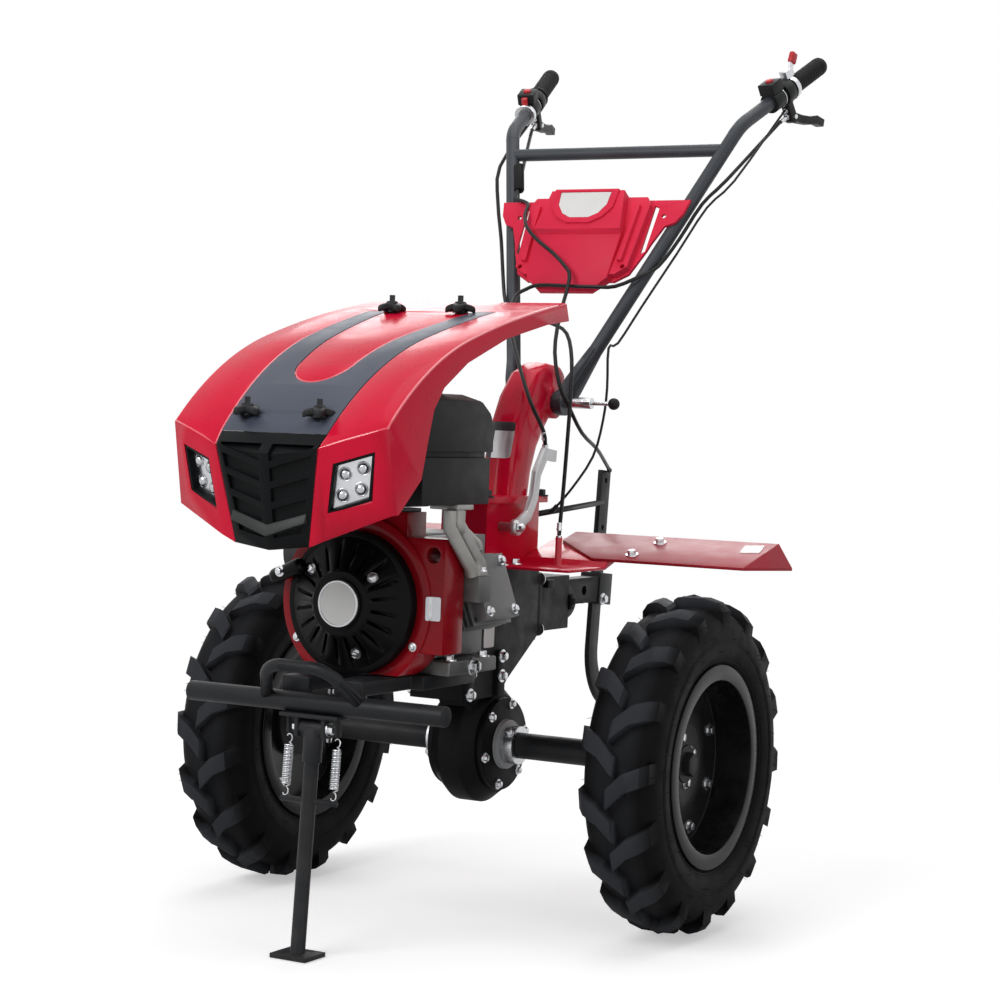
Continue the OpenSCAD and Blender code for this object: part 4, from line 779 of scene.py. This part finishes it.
# throttle on the right grip: a zinc clamp ring and mount, a leaning lever and a red tip
throttleLook = {"fromEnd": 97, "rise": 17, "top": (69, -42), "lever": (4, 11, 36), "tip": (9, 15, 19),
                "mount": (15, 22, 15)}
ringProfile = [(11.5, -4.5), (18.4, -4.5), (19.4, -3.5), (19.4, 3.5), (18.4, 4.5), (11.5, 4.5),
               (11.5, -4.5)]
addStamped("throttleRing", "handlebar", turnedShape(ringProfile, 32),
           [(onGrip(1, throttleLook["fromEnd"]), gripDir)])
leverFoot = onGrip(1, throttleLook["fromEnd"], -throttleLook["rise"])
leverAim = onGrip(1, *throttleLook["top"]) - leverFoot
addStamped("throttleMount", "handlebar", blockShape(throttleLook["mount"], 2), [(leverFoot, -gripDown)])
addStamped("throttleLever", "handlebar", blockShape(throttleLook["lever"], 1.4), [(leverFoot, leverAim)])
addStamped("throttleTip", "handlebar", blockShape(throttleLook["tip"], 3),
           [(leverFoot + leverAim.normalized() * 0.026, leverAim)], "buttonRed")

# safety latch on the left bar: a zinc clamp and a red tab
latchLook = {"fromEnd": 172, "tab": (10, 8, 13)}
latchAlong = flipped(gripDir, -1)
addStamped("latchRing", "handlebar", turnedShape([(row[0] - 1.5, row[1]) for row in ringProfile], 32),
           [(onGrip(-1, latchLook["fromEnd"]), latchAlong)])
addStamped("latchTab", "handlebar", blockShape(latchLook["tab"], 2),
           [(onGrip(-1, latchLook["fromEnd"] - 5, -15), flipped(-gripDown, -1))], "buttonRed")

# foam sleeve round the cable below the crossbar
sleeveAt = tubeRoot + tubeDir * 418 + Vector((-16, -8, -3))
sleeveProfile = [(3.4, 0), (7.6, 0), (8.4, 2), (8.4, 50), (7.6, 52), (3.4, 52), (3.4, 0)]
addStamped("cableSleeve", "handlebar", turnedShape(sleeveProfile, 24),
           [(place(-sleeveAt.x, sleeveAt.y, sleeveAt.z), Vector((-tubeDir.x, tubeDir.y, tubeDir.z)))],
           "gripRubber")
print("controls made")


# bare plates and stickers, laid on the surface that carries them
def addPlate(name, node, centre, sideways, upward, size, toward, finish, thick=0.5, border=0.0,
             field=None):
    carrier = mergedCopy(node)
    tree = BVHTree.FromBMesh(carrier)
    bm = bmesh.new()
    bmesh.ops.create_grid(bm, x_segments=8, y_segments=8, size=0.5)
    for vert in bm.verts:
        if abs(vert.co.x) + abs(vert.co.y) > 0.99:
            vert.co *= 0.95
    if border:
        bmesh.ops.inset_region(bm, faces=bm.faces[:], thickness=border, use_even_offset=True)
        edge = 0.5 - border * 1.01
        for face in bm.faces:
            middle = face.calc_center_median()
            face.material_index = 1 if max(abs(middle.x), abs(middle.y)) > edge else 0
            if field and not face.material_index and middle.x > field[0] and middle.y < field[1]:
                face.material_index = 2
    sideways, upward, toward = (Vector(part).normalized() for part in (sideways, upward, toward))
    for vert in bm.verts:
        start = centre + sideways * vert.co.x * size[0] / 1000 + upward * vert.co.y * size[1] / 1000
        spot = tree.ray_cast(start - toward * 0.04, toward)[0]
        vert.co = (spot if spot is not None else start) + toward * 0.0002
    drawOut(bm, -toward * (thick + 0.2) / 1000)
    carrier.free()
    addPiece(name, bm, bodyOf[node], finish)


addPlate("columnPlate", "handle_column", place(0, 34, 686), (1, 0, 0), (0, 0.26, 0.97), (42, 56), (0, 1, 0),
         ("plateDark", "plateWhite", "plateSilver"), border=0.06, field=(-0.2, 0.25))
addPlate("shroudLabel", "fan_shroud", place(122, -345, 462), (1, 0, 0), (0, 0, 1), (21, 32), (0, 1, 0),
         "plateSilver", thick=1.6)
addPlate("neckTag", "gearbox_case", place(42, -51, 402), (0, 1, 0), (0, 0, 1), (30, 34), (-1, 0, 0),
         "plateWhite")
addPlate("fenderSticker", "fender_right", place(368, 140, 560), (0.98, 0.17, 0.05), (-0.17, 0.95, 0.25),
         (30, 36), (0, 0, -1), "plateWhite")
emblemProfile = [(0, 1.4), (20, 1.1), (27, 0.5), (28.4, 0.3), (29, 1.7), (31, 1.7), (31.6, 0.8), (31.6, -1)]
emblemAt = place(0, -388, crankUp)
emblemBm = bmesh.new()
stamp(emblemBm, turnedShape(emblemProfile, 48), standing(emblemAt, front))
for face in emblemBm.faces:
    spot = face.calc_center_median() - emblemAt
    face.material_index = 1 if math.hypot(spot.x, spot.z) > 0.0284 else 0
addPiece("starterEmblem", emblemBm, "chassis", ("plateWhite", "plateSilver"))

# bare plate in the dash's recess, in the dash's own plane: across, up the panel, out of it
dashLook = {"lean": math.atan2(tubeDir.y, tubeDir.z), "off": 11.3, "level": 36, "thick": 1.4,
            "outline": ((16, 285), (31, 292.5), (42, 308.5), (44, 332))}


def onDash(x, rise, out):
    low = tubeRoot + tubeDir * 24
    lean = dashLook["lean"]
    return place(x, low.y + rise * math.sin(lean) - (dashLook["off"] + out) * math.cos(lean),
                 low.z + rise * math.cos(lean) + (dashLook["off"] + out) * math.sin(lean))


def addDashPlate():
    bm = bmesh.new()
    half = dashLook["outline"]
    corners = [onDash(x, rise, dashLook["level"]) for x, rise in half]
    corners += [onDash(-x, rise, dashLook["level"]) for x, rise in reversed(half)]
    face = bm.faces.new([bm.verts.new(corner) for corner in corners])
    bmesh.ops.inset_region(bm, faces=[face], thickness=0.0022, use_even_offset=True)
    for ring in bm.faces:
        ring.material_index = 0 if ring == face else 1
    outward = (onDash(0, 300, 1) - onDash(0, 300, 0)).normalized()
    drawOut(bm, outward * dashLook["thick"] / 1000)
    addPiece("dashPlate", bm, "handlebar", ("plateWhite", "plateSilver"))


addDashPlate()
print("plates laid")

# wing knobs of the bonnet: a stud, a neck and a lobed head
knobLook = {"lobes": 4, "radius": 0.0168, "wave": 0.0050, "thick": 0.0095, "droop": 0.0035, "round": 0.0028,
            "lift": 0.0045, "sink": 0.008,
            "neck": [(0, 0), (11, 0), (10, 2.5), (8.6, 6), (9, 13), (7, 15.5), (0, 15.5)],
            "stud": [(0, 10), (3.9, 10), (3.9, 22), (3.2, 23), (0, 23)]}
knobFeet = ((56, -531), (56, -188))  # rows of x and y, one on each side


def knobStand(x, y):  # the knob stands where its CAD solid stands
    heights = [vert.co.z for vert in nodes["bonnet_knobs"].data.vertices
               if (Vector((abs(vert.co.x), vert.co.y)) - place(x, y, 0).to_2d()).length < 0.03]
    return min(heights)


def knobHead():
    bm = bmesh.new()
    bmesh.ops.create_circle(bm, cap_ends=True, segments=48, radius=knobLook["radius"])
    for vert in bm.verts:
        angle = math.atan2(vert.co.y, vert.co.x)
        vert.co *= 1 + knobLook["wave"] / knobLook["radius"] * math.cos(knobLook["lobes"] * angle)
    drawOut(bm, (0, 0, knobLook["thick"]))
    rims = [edge for edge in bm.edges if len(edge.link_faces) == 2 and edge.calc_face_angle(0) > 1.0]
    roundEdges(bm, rims, knobLook["round"], segments=3)
    for vert in bm.verts:
        vert.co.z -= knobLook["droop"] * (vert.co.to_2d().length / knobLook["radius"]) ** 2
    return asShape(bm)


def addKnobs():
    heads, studs = bmesh.new(), bmesh.new()
    head, neck, stud = knobHead(), turnedShape(knobLook["neck"], 24), turnedShape(knobLook["stud"], 16)
    for x, y in knobFeet:
        foot = knobStand(x, y)
        for side in (1, -1):
            spot = place(side * x, y, 0) + Vector((0, 0, foot - knobLook["sink"]))
            turn = Matrix.Rotation(math.radians(side * 24 + y), 4, "Z")
            stamp(heads, neck, Matrix.Translation(spot))
            stamp(heads, head, Matrix.Translation(spot + Vector((0, 0, knobLook["lift"]))) @ turn)
            stamp(studs, stud, Matrix.Translation(spot))
    addPiece("knobHeads", heads, "chassis", "mouldedBlack", instead=("bonnet_knobs",))
    addPiece("knobStuds", studs, "chassis", "barPaint")


addKnobs()


# lamps: a black frame that sinks to a silver floor with four lenses
def addLamps():
    frames, lenses, bezels = bmesh.new(), bmesh.new(), bmesh.new()
    radius = lampLook["lens"]
    dome = turnedShape([(0, radius * 0.72), (radius * 0.5, radius * 0.62), (radius * 0.82, radius * 0.38),
                        (radius, 0), (radius, -1.5)], 28)
    ring = turnedShape(beadProfile(radius + 0.9, 0.8, 0.3), 28)
    for side in (1, -1):
        stand = Matrix.Diagonal((side, 1, 1, 1)) @ lampStand
        lamp = bmesh.new()
        face = lamp.faces.new([lamp.verts.new((x / 1000, 0.001, z / 1000)) for x, z in lampLook["quad"]])
        drawn = bmesh.ops.extrude_face_region(lamp, geom=[face])["geom"]
        bmesh.ops.translate(lamp, verts=[part for part in drawn if isinstance(part, bmesh.types.BMVert)],
                            vec=(0, lampLook["back"] / 1000, 0))
        lamp.faces.ensure_lookup_table()
        mouth = min(lamp.faces, key=lambda part: part.calc_center_median().y)
        bmesh.ops.inset_region(lamp, faces=[mouth], thickness=lampLook["rim"] / 1000, use_even_offset=True)
        bmesh.ops.inset_region(lamp, faces=[mouth], thickness=0.0012, use_even_offset=True)
        bmesh.ops.translate(lamp, verts=mouth.verts[:], vec=(0, lampLook["sink"] / 1000, 0))
        mouth.material_index = 1
        bmesh.ops.recalc_face_normals(lamp, faces=lamp.faces)
        bmesh.ops.transform(lamp, matrix=stand, verts=lamp.verts)
        shape = bpy.data.meshes.new("stamp")
        lamp.to_mesh(shape)
        lamp.free()
        frames.from_mesh(shape)
        for lens in lensSpots:
            spot = stand @ Matrix.Translation(lens) @ Matrix.Rotation(math.radians(90), 4, "X")
            stamp(lenses, dome, spot)
            stamp(bezels, ring, spot)
    for bm in (frames, lenses, bezels):
        bmesh.ops.recalc_face_normals(bm, faces=bm.faces)
    addPiece("lampFrames", frames, "chassis", ("grilleBlack", "lampSilver"),
             instead=("headlamps",))
    addPiece("lampLenses", lenses, "chassis", "lensGloss", sharp=50)
    addPiece("lensBezels", bezels, "chassis", "lampSilver")


addLamps()
print("knobs and lamps made")

# chevron at the grille's foot, painted pale grey for the light on its upward face: rows of x, top and low edge in
# millimetres
chevronLook = {"rows": ((0, 573, 558), (57, 589.5, 577)), "out": (1, 8), "back": 0.012, "round": 0.0012}


def onGrille(x, z, out):
    return place(x, -556.2 + 0.122 * abs(x) - 0.173 * (z - 559.8) - out, z)


def addChevron():
    bm = bmesh.new()
    (_, midTop, midLow), (half, endTop, endLow) = chevronLook["rows"]
    high, low = chevronLook["out"]
    middle = [bm.verts.new(onGrille(0, midTop, high)), bm.verts.new(onGrille(0, midLow, low))]
    for side in (1, -1):
        ends = [bm.verts.new(onGrille(side * half, endTop, high)),
                bm.verts.new(onGrille(side * half, endLow, low))]
        bm.faces.new((middle[0], middle[1], ends[1], ends[0]))
    drawOut(bm, (0, chevronLook["back"], 0))
    roundEdges(bm, bm.edges[:], chevronLook["round"])
    addPiece("grilleChevron", bm, "chassis", "grilleGrey")


addChevron()

# two cast arms from the air cleaner's foot down to the port
armLook = {"x": 146, "thick": 0.009, "rows": (((-350, 594), (-350, 572), (-290, 516), (-286, 506)),
                                             ((-326, 594), (-326, 576), (-266, 520), (-262, 506)))}


def addIntakeArms():
    bm = bmesh.new()
    for row in armLook["rows"]:
        arm = bmesh.new()
        tubeAlong(arm, [place(armLook["x"], y, z) for y, z in row], armLook["thick"], 16)
        stamp(bm, asShape(arm), Matrix.Identity(4))
    addPiece("intakeArms", bm, "chassis", "castAlloy", sharp=50)


addIntakeArms()
print("grille and intake finished")


# plain pale floor that fades into the white surround
floorLook = {"radius": 2.6, "tone": (0.86, 0.86, 0.86), "fadeFrom": 0.8, "fadeTo": 2.2, "lift": 0.42}


def addFloor():
    bm = bmesh.new()
    bmesh.ops.create_circle(bm, cap_ends=True, segments=96, radius=floorLook["radius"])
    mesh = bpy.data.meshes.new("floor")
    bm.to_mesh(mesh)
    bm.free()
    floor = bpy.data.objects.new("floor", mesh)
    floor.location = (0, 0, -0.0008)
    bpy.context.scene.collection.objects.link(floor)
    finish = bpy.data.materials.new("floorPale")
    finish.use_nodes = True
    tree = finish.node_tree
    shader = tree.nodes["Principled BSDF"]
    shader.inputs["Base Color"].default_value = (*floorLook["tone"], 1)
    shader.inputs["Roughness"].default_value = 0.8
    shader.inputs["Specular IOR Level"].default_value = 0.1
    distance = tree.nodes.new("ShaderNodeVectorMath")
    distance.operation = "LENGTH"
    tree.links.new(objectPoint(tree), distance.inputs[0])
    fade = rangeOf(tree, distance.outputs["Value"], floorLook["fadeFrom"], floorLook["fadeTo"])
    clear = tree.nodes.new("ShaderNodeBsdfTransparent")
    path = tree.nodes.new("ShaderNodeLightPath")
    lift = tree.nodes.new("ShaderNodeEmission")
    tree.links.new(mathOf(tree, "MULTIPLY", path.outputs["Is Camera Ray"], floorLook["lift"]),
                   lift.inputs["Strength"])
    lifted = tree.nodes.new("ShaderNodeAddShader")
    tree.links.new(shader.outputs[0], lifted.inputs[0])
    tree.links.new(lift.outputs[0], lifted.inputs[1])
    blend = tree.nodes.new("ShaderNodeMixShader")
    tree.links.new(fade, blend.inputs[0])
    tree.links.new(lifted.outputs[0], blend.inputs[1])
    tree.links.new(clear.outputs[0], blend.inputs[2])
    tree.links.new(blend.outputs[0], tree.nodes["Material Output"].inputs["Surface"])
    mesh.materials.append(finish)


# soft studio light: lamp rows are place, aim, size in metres, watts
lampTable = {
    "keyLamp": ((-0.7, -3.1, 2.5), (0, -0.1, 0.6), 2.4, 66),
    "topLamp": ((0.3, 0.3, 3.4), (0, 0, 0.6), 3.2, 36),
    "fillLamp": ((3.4, -1.6, 1.4), (0, 0, 0.5), 2.0, 14),
    "backLamp": ((-1.4, 2.8, 2.2), (0, 0, 0.7), 2.0, 24),
}


def addLights():
    for name, (spot, aim, size, watts) in lampTable.items():
        data = bpy.data.lights.new(name, "AREA")
        data.shape = "DISK"
        data.size = size
        data.energy = watts
        lamp = bpy.data.objects.new(name, data)
        lamp.location = spot
        lamp.rotation_euler = (Vector(aim) - Vector(spot)).to_track_quat("-Z", "Y").to_euler()
        bpy.context.scene.collection.objects.link(lamp)
    world = bpy.data.worlds.new("studio")
    bpy.context.scene.world = world
    world.use_nodes = True
    tree = world.node_tree
    tree.nodes.clear()
    path = tree.nodes.new("ShaderNodeLightPath")
    seen = mathOf(tree, "MAXIMUM", path.outputs["Is Camera Ray"], path.outputs["Is Glossy Ray"])
    seen = mathOf(tree, "MAXIMUM", seen, path.outputs["Is Transmission Ray"])
    strength = rangeOf(tree, seen, 0.0, 1.0, 0.26, 1.0)
    background = tree.nodes.new("ShaderNodeBackground")
    background.inputs["Color"].default_value = (1, 1, 1, 1)
    tree.links.new(strength, background.inputs["Strength"])
    output = tree.nodes.new("ShaderNodeOutputWorld")
    tree.links.new(background.outputs[0], output.inputs["Surface"])


addFloor()
addLights()
print("stage and lights set")
